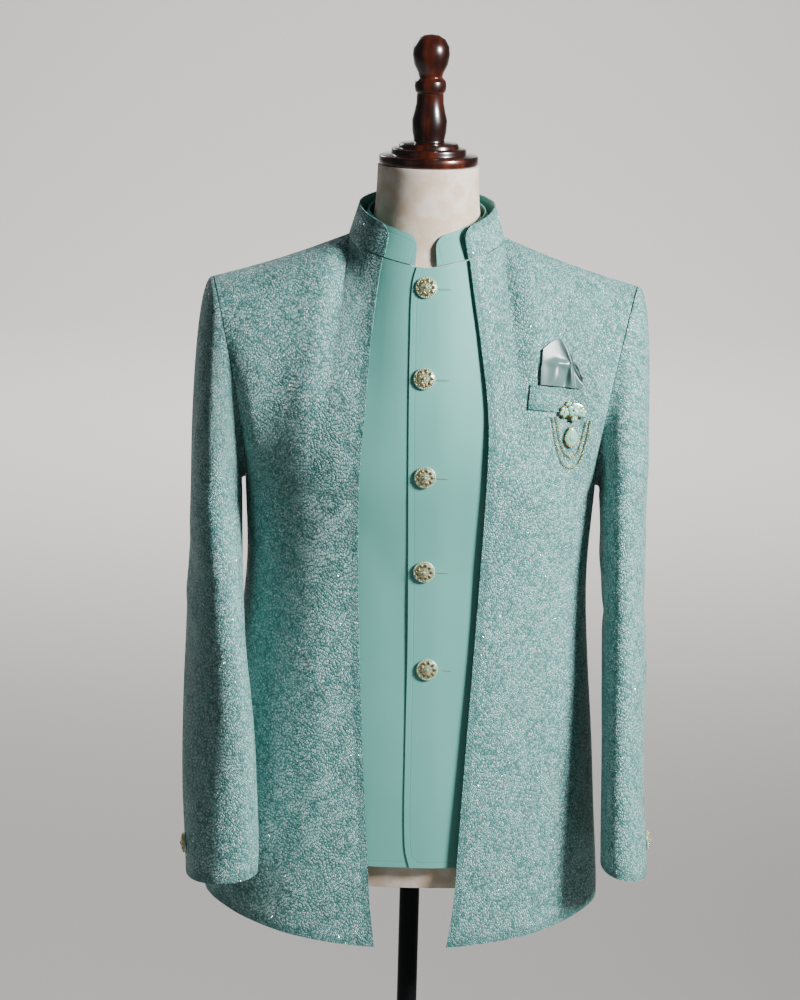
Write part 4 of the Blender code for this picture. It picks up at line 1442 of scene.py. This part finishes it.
@dataclass(frozen=True)
class DressForm:
    """The linen torso with its neck, the turned wooden neck cap, the pole and the base."""

    looks: Finishes
    half_columns: int = 30
    low_rows: int = 34
    high_rows: int = 30
    neck_rows: int = 14
    hem: float = 0.749
    neck_top: float = 1.525
    pole_radius: float = 0.011
    cap: tuple[tuple[float, float], ...] = (
        (0.0000, 0.1400), (0.0080, 0.1388), (0.0150, 0.1345), (0.0192, 0.1270), (0.0200, 0.1180),
        (0.0185, 0.1080), (0.0140, 0.0990), (0.0125, 0.0940), (0.0165, 0.0900), (0.0172, 0.0845),
        (0.0165, 0.0790), (0.0145, 0.0770), (0.0148, 0.0660), (0.0165, 0.0580), (0.0190, 0.0480),
        (0.0185, 0.0360), (0.0165, 0.0270), (0.0170, 0.0245), (0.0310, 0.0235), (0.0325, 0.0205),
        (0.0325, 0.0185), (0.0400, 0.0178), (0.0405, 0.0150), (0.0405, 0.0115), (0.0525, 0.0106),
        (0.0535, 0.0090), (0.0535, 0.0020), (0.0525, 0.0003), (0.0000, 0.0003),
    )
    base: tuple[tuple[float, float], ...] = (
        (0.0000, 0.0300), (0.0150, 0.0300), (0.0180, 0.0280), (0.0200, 0.0160), (0.0300, 0.0125),
        (0.1500, 0.0100), (0.1640, 0.0080), (0.1650, 0.0060), (0.1650, 0.0000), (0.0000, 0.0000),
    )

    def build(self) -> None:
        """Builds and dresses the form and its stand."""
        self.torso()
        self.stand()

    def torso(self) -> None:
        """Torso and neck as one closed skin."""
        rows = body_rows(self.low_rows, self.high_rows, 0.0)
        half = self.half_columns
        inner = round(half * NECK_SHARE)

        def front(i: int, j: int) -> Vector:
            """Point of the front."""
            return FORM.point(Face.FRONT, spread(i - half, half), rows[j])

        def back(i: int, j: int) -> Vector:
            """Point of the back."""
            return FORM.point(Face.BACK, spread(i - half, half), rows[j])

        parts = [
            lay("torso_front", 2 * half, len(rows) - 1, front, hub_of_body(rows)).obj,
            lay("torso_back", 2 * half, len(rows) - 1, back, hub_of_body(rows)).obj,
        ]
        upper = [v for v in rows if v >= 0]
        for side in Side:

            def plate(i: int, j: int, side: Side = side) -> Vector:
                """Point of the plate that closes an armhole."""
                a = FORM.point(Face.FRONT, side.value, upper[j])
                b = FORM.point(Face.BACK, side.value, upper[j])
                point = a.lerp(b, i / 8)
                point.x += (
                    side.value * 0.008 * math.sin(math.pi * i / 8) * math.sin(math.pi * upper[j])
                )
                return point

            hub = Vector((0, 0, 1.28))
            parts.append(lay("torso_plate", 8, len(upper) - 1, plate, lambda j: hub).obj)
        for face in Face:

            def neck(i: int, j: int, face: Face = face) -> Vector:
                """Point of the neck, from the shoulders up."""
                u = spread(i - inner, half)
                foot = FORM.top(face, u)
                k = j / self.neck_rows
                z = foot.z + (self.neck_top - foot.z) * k
                a = u / NECK_SHARE * math.pi / 2
                half_wide = eased(NECK_ROWS, z, "half")
                deep = eased(NECK_ROWS, z, "front" if face is Face.FRONT else "back")
                ring = Vector((half_wide * math.sin(a), deep * math.cos(a), z))
                return foot.lerp(ring, ramp(0.0, 0.30, k)) if j else foot

            parts.append(
                lay(
                    "torso_neck", 2 * inner, self.neck_rows, neck, lambda j: Vector((0, 0, 1.49))
                ).obj
            )
        obj = merged(parts, "form_torso_linen", 0.00006)
        alone(obj)
        bpy.ops.object.mode_set(mode="EDIT")
        bpy.ops.mesh.select_all(action="SELECT")
        bpy.ops.mesh.fill_holes(sides=0)
        bpy.ops.mesh.select_all(action="SELECT")
        bpy.ops.mesh.normals_make_consistent(inside=False)
        bpy.ops.object.mode_set(mode="OBJECT")
        rounded(obj, 0.0012)
        bpy.ops.object.shade_smooth_by_angle(angle=math.radians(40))
        placed(dressed(obj, (self.looks.linen,)), "linen", "form_torso")

    def stand(self) -> None:
        """Neck cap, pole and base."""
        cap = turned(
            "neck_cap_wood", self.cap, 96, Matrix.Translation((0, 0, self.neck_top)), 0.0007
        )
        placed(dressed(cap, (self.looks.wood,)), "turned_wood", "neck_cap")
        base = turned("stand_base_steel", self.base, 128, Matrix.Identity(4), 0.0012)
        placed(dressed(base, (self.looks.steel,)), "dark_steel", "stand_base")
        foot = self.base[0][1] + 0.0003
        profile = (
            (0.0, self.hem - 0.0003 - foot),
            (self.pole_radius, self.hem - 0.0003 - foot),
            (self.pole_radius, 0.0),
            (0.0, 0.0),
        )
        pole = turned("stand_pole_steel", profile, 48, Matrix.Translation((0, 0, foot)), 0.0004)
        placed(dressed(pole, (self.looks.steel,)), "dark_steel", "stand_pole")


SQUARE_FOLDS = (
    Fold(0.08, -0.10, 0.30, 0.46, 0.0046, 0.0024),
    Fold(0.28, 0.47, 0.56, 0.50, 0.0040, 0.0023),
    Fold(0.60, 0.48, 0.38, -0.05, 0.0032, 0.0028),
    Fold(0.44, 0.32, 0.30, -0.05, 0.0030, -0.0019),
    Fold(0.52, 0.97, 0.66, 0.46, 0.0048, 0.0021),
    Fold(0.70, 0.92, 0.68, 0.02, 0.0030, -0.0017),
    Fold(0.76, 0.50, 0.90, 0.44, 0.0034, 0.0016),
    Fold(0.84, 0.34, 0.82, -0.05, 0.0040, 0.0021),
    Fold(0.98, 0.55, 0.93, 0.05, 0.0032, -0.0012),
)


# ---------------------------------------------------------------- buttons and trim


@dataclass(frozen=True)
class Buttons:
    """Domed filigree buttons down the inner front and one at each cuff, with buttonholes."""

    looks: Finishes
    places: tuple[tuple[float, float], ...] = (
        (0.001, 1.402), (0.001, 1.309), (0.003, 1.206), (0.006, 1.102), (0.012, 0.995),
    )
    radius: float = 0.0117
    height: float = 0.0048
    cuff_height: float = 0.797
    cuff_share: float = 0.53
    cuff_scale: float = 0.95
    hole_offset: float = 0.0200
    hole_half: float = 0.0075

    def build(self) -> None:
        """Builds and dresses every button and buttonhole."""
        holes = []
        for number, (x, z) in enumerate(self.places, 1):
            point, normal = INNER.find(x, z)
            seat = point + normal * (LAP_LIFT + INNER_CLOTH / 2 + 0.0009)
            self.button(f"button_{number}", facing(seat, normal), 1.0)
            holes.append(self.buttonhole(x + self.hole_offset, z - 0.001))
        placed(
            dressed(merged(holes, "buttonholes"), (self.looks.thread,)), "plain_cloth"
        )
        for word, sleeve in (("right", RIGHT_SLEEVE), ("left", LEFT_SLEEVE)):
            top = sleeve.rows[-1].z
            v = (self.cuff_height - top) / (top - sleeve.rows[0].z)
            q = self.cuff_share
            along = sleeve.point(q + 0.01, v) - sleeve.point(q - 0.01, v)
            upward = sleeve.point(q, v + 0.01) - sleeve.point(q, v - 0.01)
            normal = along.cross(upward).normalized()
            if normal.x * sleeve.side.value < 0:
                normal = -normal
            seat = sleeve.point(q, v) + normal * (OUTER_CLOTH / 2 + 0.0001)
            self.button(f"cuff_button_{word}", facing(seat, normal), self.cuff_scale)

    def button(self, node: str, matrix: Matrix, scale: float) -> None:
        """One button: dome, beaded rim, ring of petal loops with discs of painted shade in their
        piercings, and a centre stone.

        Args:
            node: the CAD node that it stands for.
            matrix: its seat.
            scale: its size beside the others.
        """
        r, h = self.radius * scale, self.height
        profile = (
            (0.0, h * 0.80), (r * 0.25, h * 0.78), (r * 0.45, h * 0.70), (r * 0.62, h * 0.60),
            (r * 0.76, h * 0.46), (r * 0.88, h * 0.32), (r * 0.97, h * 0.22), (r, h * 0.12),
            (r * 0.97, 0.0), (0.0, 0.0),
        )
        dome = dressed(
            turned(node + "_dome", profile, 48, Matrix.Identity(4), 0.0002),
            (self.looks.pale_gilt,),
        )
        rim = []
        for k in range(28):
            a = 2 * math.pi * k / 28
            at = Vector((r * 0.91 * math.cos(a), r * 0.91 * math.sin(a), h * 0.34))
            rim.append(Matrix.Translation(at))
        beads = dressed(
            copies(bead(r * 0.088, Vector(), *SMALL_BEAD), rim, node + "_rim"),
            (self.looks.pale_gilt,),
        )
        petals, hole_shade_spots = [], []
        for k in range(9):
            a = 2 * math.pi * k / 9
            at = Vector((r * 0.58 * math.cos(a), r * 0.58 * math.sin(a), h * 0.63))
            petals.append(Matrix.Translation(at) @ Matrix.Rotation(a, 4, "Z"))
            hole_shade_spots.append(
                Matrix.Translation(at + Vector((0, 0, 0.0001))) @ Matrix.Rotation(a, 4, "Z")
            )
        bpy.ops.object.select_all(action="DESELECT")
        bpy.ops.mesh.primitive_torus_add(
            major_radius=r * 0.165, minor_radius=r * 0.038, major_segments=16, minor_segments=6
        )
        loop = bpy.context.object
        loop.data.transform(Matrix.Diagonal((1.25, 0.90, 1.3, 1.0)))
        loops = dressed(copies(loop, petals, node + "_petals"), (self.looks.gilt,))
        # Dark discs inside the petal loops: painted shade where the piercings are.
        hole_shade_disc = bead(r * 0.125, Vector(), 10, 5)
        hole_shade_disc.data.transform(Matrix.Diagonal((1.25, 0.90, 0.22, 1.0)))
        holes = dressed(copies(hole_shade_disc, hole_shade_spots, node + "_hole_shade"), (self.looks.hole_shade,))
        inner = [Matrix.Translation((r * 0.26 * math.cos(a), r * 0.26 * math.sin(a), h * 0.80))
                 for a in (2 * math.pi * k / 8 for k in range(8))]
        ring = dressed(
            copies(bead(r * 0.070, Vector(), *SMALL_BEAD), inner, node + "_ring"),
            (self.looks.gilt,),
        )
        stone = bead(r * 0.15, Vector((0, 0, h * 0.84)), 16, 10)
        bpy.ops.object.shade_smooth()
        dressed(stone, (self.looks.enamel,))
        whole = self.joined([dome, beads, loops, holes, ring, stone], node + "_gilt")
        whole.data.transform(matrix)
        placed(whole, "gilt_metal", node)

    def joined(self, objs: Sequence[bpy.types.Object], name: str) -> bpy.types.Object:
        """Joins finished pieces and keeps their materials."""
        for obj in objs:
            alone(obj)
            bpy.ops.object.transform_apply(location=True, rotation=True, scale=True)
        return merged(objs, name)

    def buttonhole(self, x: float, z: float) -> bpy.types.Object:
        """A worked buttonhole: a slim leaf of thread on the lapped front."""
        point, normal = INNER.find(x, z)
        lift = LAP_LIFT * (1 - ramp(LAP_FLAT, LAP_END, x)) + INNER_CLOTH / 2
        leaf = bead(1.0, Vector(), 20, 10)
        leaf.data.transform(Matrix.Diagonal((self.hole_half, 0.0012, 0.0006, 1.0)))
        leaf.data.transform(upright(point + normal * lift, normal))
        alone(leaf)
        bpy.ops.object.shade_smooth()
        return leaf


@dataclass(frozen=True)
class Pocket:
    """The breast welt and the satin square that stands out of it."""

    looks: Finishes
    welt: tuple[tuple[float, float], ...] = (
        (0.1115, 1.2780), (0.1690, 1.2705), (0.1710, 1.2960), (0.1140, 1.3035),
    )
    peaks: tuple[tuple[float, float], ...] = (
        (0.18, 0.020), (0.20, 0.038), (0.34, 0.045), (0.50, 0.051),
        (0.64, 0.045), (0.80, 0.030), (0.97, 0.018),
    )
    welt_cloth: float = 0.0014
    square_cloth: float = 0.0010
    seam: float = 0.0003

    def spot(self, a: float, b: float) -> tuple[float, float]:
        """Point of the welt as x and z, from shares across and upwards."""
        low_in, low_out, top_out, top_in = (Vector(corner) for corner in self.welt)
        at = low_in.lerp(low_out, a).lerp(top_in.lerp(top_out, a), b)
        return at.x, at.y

    def rise(self, k: float) -> float:
        """Height of the square's outline above the welt."""
        peaks = self.peaks
        if k <= peaks[0][0]:
            return peaks[0][1]
        for a, b in zip(peaks, peaks[1:]):
            if k <= b[0]:
                share = (k - a[0]) / (b[0] - a[0])
                return a[1] + (b[1] - a[1]) * share
        return peaks[-1][1]

    def build(self) -> None:
        """Builds and dresses the welt and the square."""
        off = OUTER_CLOTH / 2 + self.seam + self.welt_cloth / 2 + 0.0002

        def welt_place(i: int, j: int) -> Vector:
            """Point of the welt, lying just off the jacket's front."""
            x, z = self.spot(i / 48, j / 20)
            point, normal = OUTER.find(x, z)
            return point + normal * off

        hub = Vector((0.13, 0, 1.28))
        laid = lay("chest_pocket_welt_cloth", 48, 20, welt_place, lambda j: hub, (), "lrbt")
        dressed(laid.obj, (self.looks.embroidered, self.looks.lining))
        walled(laid.obj, self.welt_cloth, 0.0003)
        placed(laid.obj, "embroidered_cloth", "chest_pocket_welt")
        declared(laid)
        columns, rows = 84, 70
        low, high = 0.17, 0.97
        out = OUTER_CLOTH / 2 + self.seam + self.square_cloth / 2 + 0.0004

        def square_place(i: int, j: int) -> Vector:
            """Point of the square: it fans out of the welt in uneven folds."""
            k = low + (high - low) * i / columns
            x, z = self.spot(k, 1.0)
            t = j / rows
            point, normal = OUTER.find(x, z + 0.0010 + (self.rise(k) - 0.0010) * t)
            return point + normal * (out + 0.0018)

        laid = lay(
            "pocket_square_satin",
            columns,
            rows,
            square_place,
            lambda j: hub,
            SQUARE_FOLDS,
            "lrbt",
        )
        dressed(laid.obj, (self.looks.satin, self.looks.satin))
        walled(laid.obj, self.square_cloth)
        placed(laid.obj, "satin", "pocket_square")
        declared(laid)


@dataclass(frozen=True)
class Brooch:
    """An enamel flower brooch with a drop and two hanging chains."""

    looks: Finishes
    cluster: tuple[float, float] = (0.1585, 1.2748)
    drop: tuple[float, float] = (0.1582, 1.2470)
    ends: tuple[tuple[float, float], ...] = ((0.1395, 1.2684), (0.1775, 1.2638))
    sags: tuple[float, float] = (0.0410, 0.0530)
    chain_radius: float = 0.0008

    def build(self) -> None:
        """Builds and dresses the cluster, drop and chains."""
        self.flowers()
        self.pendant()
        for node, sag, off, widen in (
            ("brooch_chain_inner", self.sags[0], 0.0026, -0.0022),
            ("brooch_chain_outer", self.sags[1], 0.0024, 0.0022),
        ):
            self.chain(node, sag, off, widen)

    def petal(self, size: float) -> bpy.types.Object:
        """One cupped petal, its foot at the origin and its tip along x."""
        leaf = bead(1.0, Vector((0.9, 0, 0)), 14, 8)
        alone(leaf)
        bpy.ops.object.transform_apply(location=True, rotation=True, scale=True)
        leaf.data.transform(Matrix.Diagonal((size * 0.50, size * 0.40, size * 0.16, 1.0)))
        return leaf

    def flower(self, name: str, size: float, petals: int, at: Matrix) -> list[bpy.types.Object]:
        """A flower of petals with gilt edges and a bright centre."""
        turns = [Matrix.Rotation(2 * math.pi * k / petals, 4, "Z") for k in range(petals)]
        blades = copies(self.petal(size), turns, name + "_petals")
        dressed(blades, (self.looks.enamel,))
        under = copies(self.petal(size * 1.13), turns, name + "_edges")
        under.data.transform(Matrix.Translation((0, 0, -size * 0.07)))
        dressed(under, (self.looks.gilt,))
        heart = bead(size * 0.22, Vector((0, 0, size * 0.16)), 12, 8)
        alone(heart)
        bpy.ops.object.transform_apply(location=True, rotation=True, scale=True)
        bpy.ops.object.shade_smooth()
        dressed(heart, (self.looks.pale_gilt,))
        parts = [blades, under, heart]
        for obj in parts:
            obj.data.transform(at)
        return parts

    def flowers(self) -> None:
        """The cluster: one large flower between two small ones, on a gilt plate."""
        point, normal = OUTER.find(*self.cluster)
        seat = point + normal * (OUTER_CLOTH / 2 + 0.0005 + 0.0014 + 0.0013)
        plate_profile = (
            (0.0, 0.0010), (0.0100, 0.0009), (0.0118, 0.0004), (0.0118, 0.0), (0.0, 0.0)
        )
        plate = turned("plate", plate_profile, 40, Matrix.Identity(4))
        plate.data.transform(Matrix.Diagonal((1.20, 0.70, 1.0, 1.0)))
        parts = [dressed(plate, (self.looks.gilt,))]
        for name, size, petals, x, y, z, turn in (
            ("large", 0.0082, 5, 0.0010, 0.0012, 0.0026, 0.30),
            ("left", 0.0062, 5, -0.0095, -0.0010, 0.0019, 0.90),
            ("right", 0.0058, 5, 0.0108, -0.0022, 0.0018, 0.10),
            ("low", 0.0044, 4, 0.0020, -0.0078, 0.0016, 0.50),
            ("high", 0.0040, 4, -0.0045, 0.0074, 0.0016, 0.20),
        ):
            at = Matrix.Translation((x, y, z)) @ Matrix.Rotation(turn, 4, "Z")
            parts += self.flower(name, size, petals, at)
        whole = merged(parts, "brooch_cluster_enamel")
        whole.data.transform(upright(seat, normal))
        placed(whole, "enamel", "brooch_cluster")

    def pendant(self) -> None:
        """The drop: an enamel teardrop in a beaded gilt rim, with a small flower on it."""
        point, normal = OUTER.find(*self.drop)
        seat = upright(point + normal * (OUTER_CLOTH / 2 + 0.0034), normal)
        body = bead(1.0, Vector(), 24, 14)
        for vertex in body.data.vertices:
            pinch = 1 - 0.35 * ramp(-0.2, 1.0, vertex.co.y)
            x, y, z = vertex.co
            vertex.co = Vector((x * 0.0080 * pinch, y * 0.0106, z * 0.0022))
        alone(body)
        bpy.ops.object.shade_smooth()
        parts = [dressed(body, (self.looks.enamel,))]
        places = []
        for k in range(34):
            a = 2 * math.pi * k / 34
            pinch = 1 - 0.35 * ramp(-0.2, 1.0, math.sin(a))
            spot = (0.0083 * pinch * math.cos(a), 0.0110 * math.sin(a), 0.0002)
            places.append(Matrix.Translation(spot))
        rim = copies(bead(0.00075, Vector(), *SMALL_BEAD), places, "drop_rim")
        parts.append(dressed(rim, (self.looks.gilt,)))
        parts += self.flower("drop", 0.0036, 6, Matrix.Translation((0, -0.0012, 0.0021)))
        whole = merged(parts, "brooch_drop_enamel")
        whole.data.transform(seat)
        placed(whole, "enamel", "brooch_drop")

    def chain(self, node: str, sag: float, off: float, widen: float) -> None:
        """One hanging chain of small gilt beads.

        Args:
            node: the CAD node that it stands for.
            sag: how far it hangs down.
            off: its distance from the jacket's surface.
            widen: how far each end lies outside the table's.
        """
        left, right = self.ends
        path = []
        for k in range(81):
            t = k / 80
            x = left[0] - widen + (right[0] - left[0] + 2 * widen) * t
            z = left[1] + (right[1] - left[1]) * t - sag * (1 - abs(2 * t - 1) ** 2.6)
            point, normal = OUTER.find(x, z)
            path.append(point + normal * off)
        places, carried, step = [], 0.0, self.chain_radius * 3.1
        for a, b in zip(path, path[1:]):
            length = (b - a).length
            while carried <= length:
                places.append(Matrix.Translation(a.lerp(b, carried / length)))
                carried += step
            carried -= length
        chain = copies(bead(self.chain_radius * 1.30, Vector(), 6, 4), places, node + "_gilt")
        placed(dressed(chain, (self.looks.gilt,)), "gilt_metal", node)


# ---------------------------------------------------------------- studio


@dataclass(frozen=True)
class Lamp:
    """One soft area light."""

    name: str
    at: tuple[float, float, float]
    size: float
    power: float
    colour: str
    aim: tuple[float, float, float]
    spread: float


@dataclass(frozen=True)
class Studio:
    """Pale floor and backdrop, soft light from the upper right, and the photo's camera."""

    lens: float = 176.1
    camera_at: tuple[float, float, float] = (-0.0215, -4.2, 1.966)
    pitch: float = 10.9
    roll: float = 1.45
    floor_colour: str = "e4e1dc"
    lamps: tuple[Lamp, ...] = (
        Lamp("key", (2.30, -1.50, 2.50), 0.8, 56.0, "ffffff", (0.10, 0.0, 1.42), 88.0),
        Lamp("fill", (-2.4, -2.6, 1.6), 2.2, 1.2, "eef4ff", (0.0, 0.0, 1.15), 180.0),
        Lamp("rim", (-1.4, 2.2, 2.4), 1.2, 14.0, "f4f7ff", (0.0, 0.0, 1.2), 180.0),
        Lamp("sweep", (0.0, 6.4, 5.2), 4.0, 330.0, "ffffff", (0.0, 8.4, 0.0), 140.0),
    )

    def build(self) -> None:
        """Builds the floor, the lights, the world and the camera."""
        self.floor()
        for lamp in self.lamps:
            self.light(lamp)
        self.world()
        self.camera()

    def floor(self) -> None:
        """A pale floor that runs up into a backdrop through a wide curve."""
        profile = [(-30.0, 0.0), (0.0, 0.0), (9.0, 0.0)]
        profile += [
            (9.0 + 2.4 * math.sin(a), 2.4 - 2.4 * math.cos(a))
            for a in (math.pi / 2 * k / 24 for k in range(1, 25))
        ]
        profile += [(11.4, 7.0)]

        def place(i: int, j: int) -> Vector:
            """Point of the sweep."""
            y, z = profile[j]
            return Vector((-30.0 + 60.0 * i / 2, y, z))

        floor = lay("floor", 2, len(profile) - 1, place, lambda j: Vector((0, 60, -60))).obj
        alone(floor)
        bpy.ops.object.shade_smooth()
        n = Nodes("matt pale floor")
        n.shade(Base_Color=linear(self.floor_colour), Roughness=0.9, Specular_IOR_Level=0.2)
        floor.data.materials.append(n.material)
        floor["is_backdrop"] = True

    def light(self, lamp: Lamp) -> None:
        """Adds one area light."""
        bpy.ops.object.light_add(type="AREA", location=lamp.at)
        light = bpy.context.object
        light.name = "light_" + lamp.name
        light.data.shape = "DISK"
        light.data.size = lamp.size
        light.data.energy = lamp.power
        light.data.color = linear(lamp.colour)[:3]
        light.data.spread = math.radians(lamp.spread)
        aim = Vector(lamp.aim) - Vector(lamp.at)
        light.rotation_euler = aim.to_track_quat("-Z", "Y").to_euler()

    def world(self) -> None:
        """An even pale surround."""
        world = bpy.data.worlds.new("studio")
        bpy.context.scene.world = world
        world.use_nodes = True
        back = world.node_tree.nodes["Background"]
        back.inputs["Color"].default_value = linear("e6eaee")
        back.inputs["Strength"].default_value = 0.10

    def camera(self) -> None:
        """The photo's camera."""
        bpy.ops.object.camera_add(location=self.camera_at)
        camera = bpy.context.object
        camera.data.lens = self.lens
        camera.data.sensor_width = 36.0
        camera.data.sensor_fit = "HORIZONTAL"
        p, r = math.radians(self.pitch), math.radians(self.roll)
        forward = Vector((0, math.cos(p), -math.sin(p)))
        level = Vector((0, math.sin(p), math.cos(p)))
        across = Vector((1, 0, 0))
        up = level * math.cos(r) - across * math.sin(r)
        right = across * math.cos(r) + level * math.sin(r)
        turn = Matrix((right, up, -forward)).transposed()
        camera.rotation_euler = turn.to_euler()
        bpy.context.scene.camera = camera


def main() -> None:
    """Builds the scene in order and reports what it made."""
    logging.basicConfig(level=logging.INFO, format="%(name)s: %(message)s")
    looks = build_finishes()
    DressForm(looks).build()
    InnerJacket(looks).build()
    OuterJacket(looks).build()
    Buttons(looks).build()
    Pocket(looks).build()
    Brooch(looks).build()
    Studio().build()
    {"cad": plain(CAD_BOX), "dressed": plain(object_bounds())}


def plain(box: Sequence) -> list:
    """A box of vectors as plain lists."""
    return [[float(x) for x in corner] for corner in box]


if __name__ == "__main__":
    main()
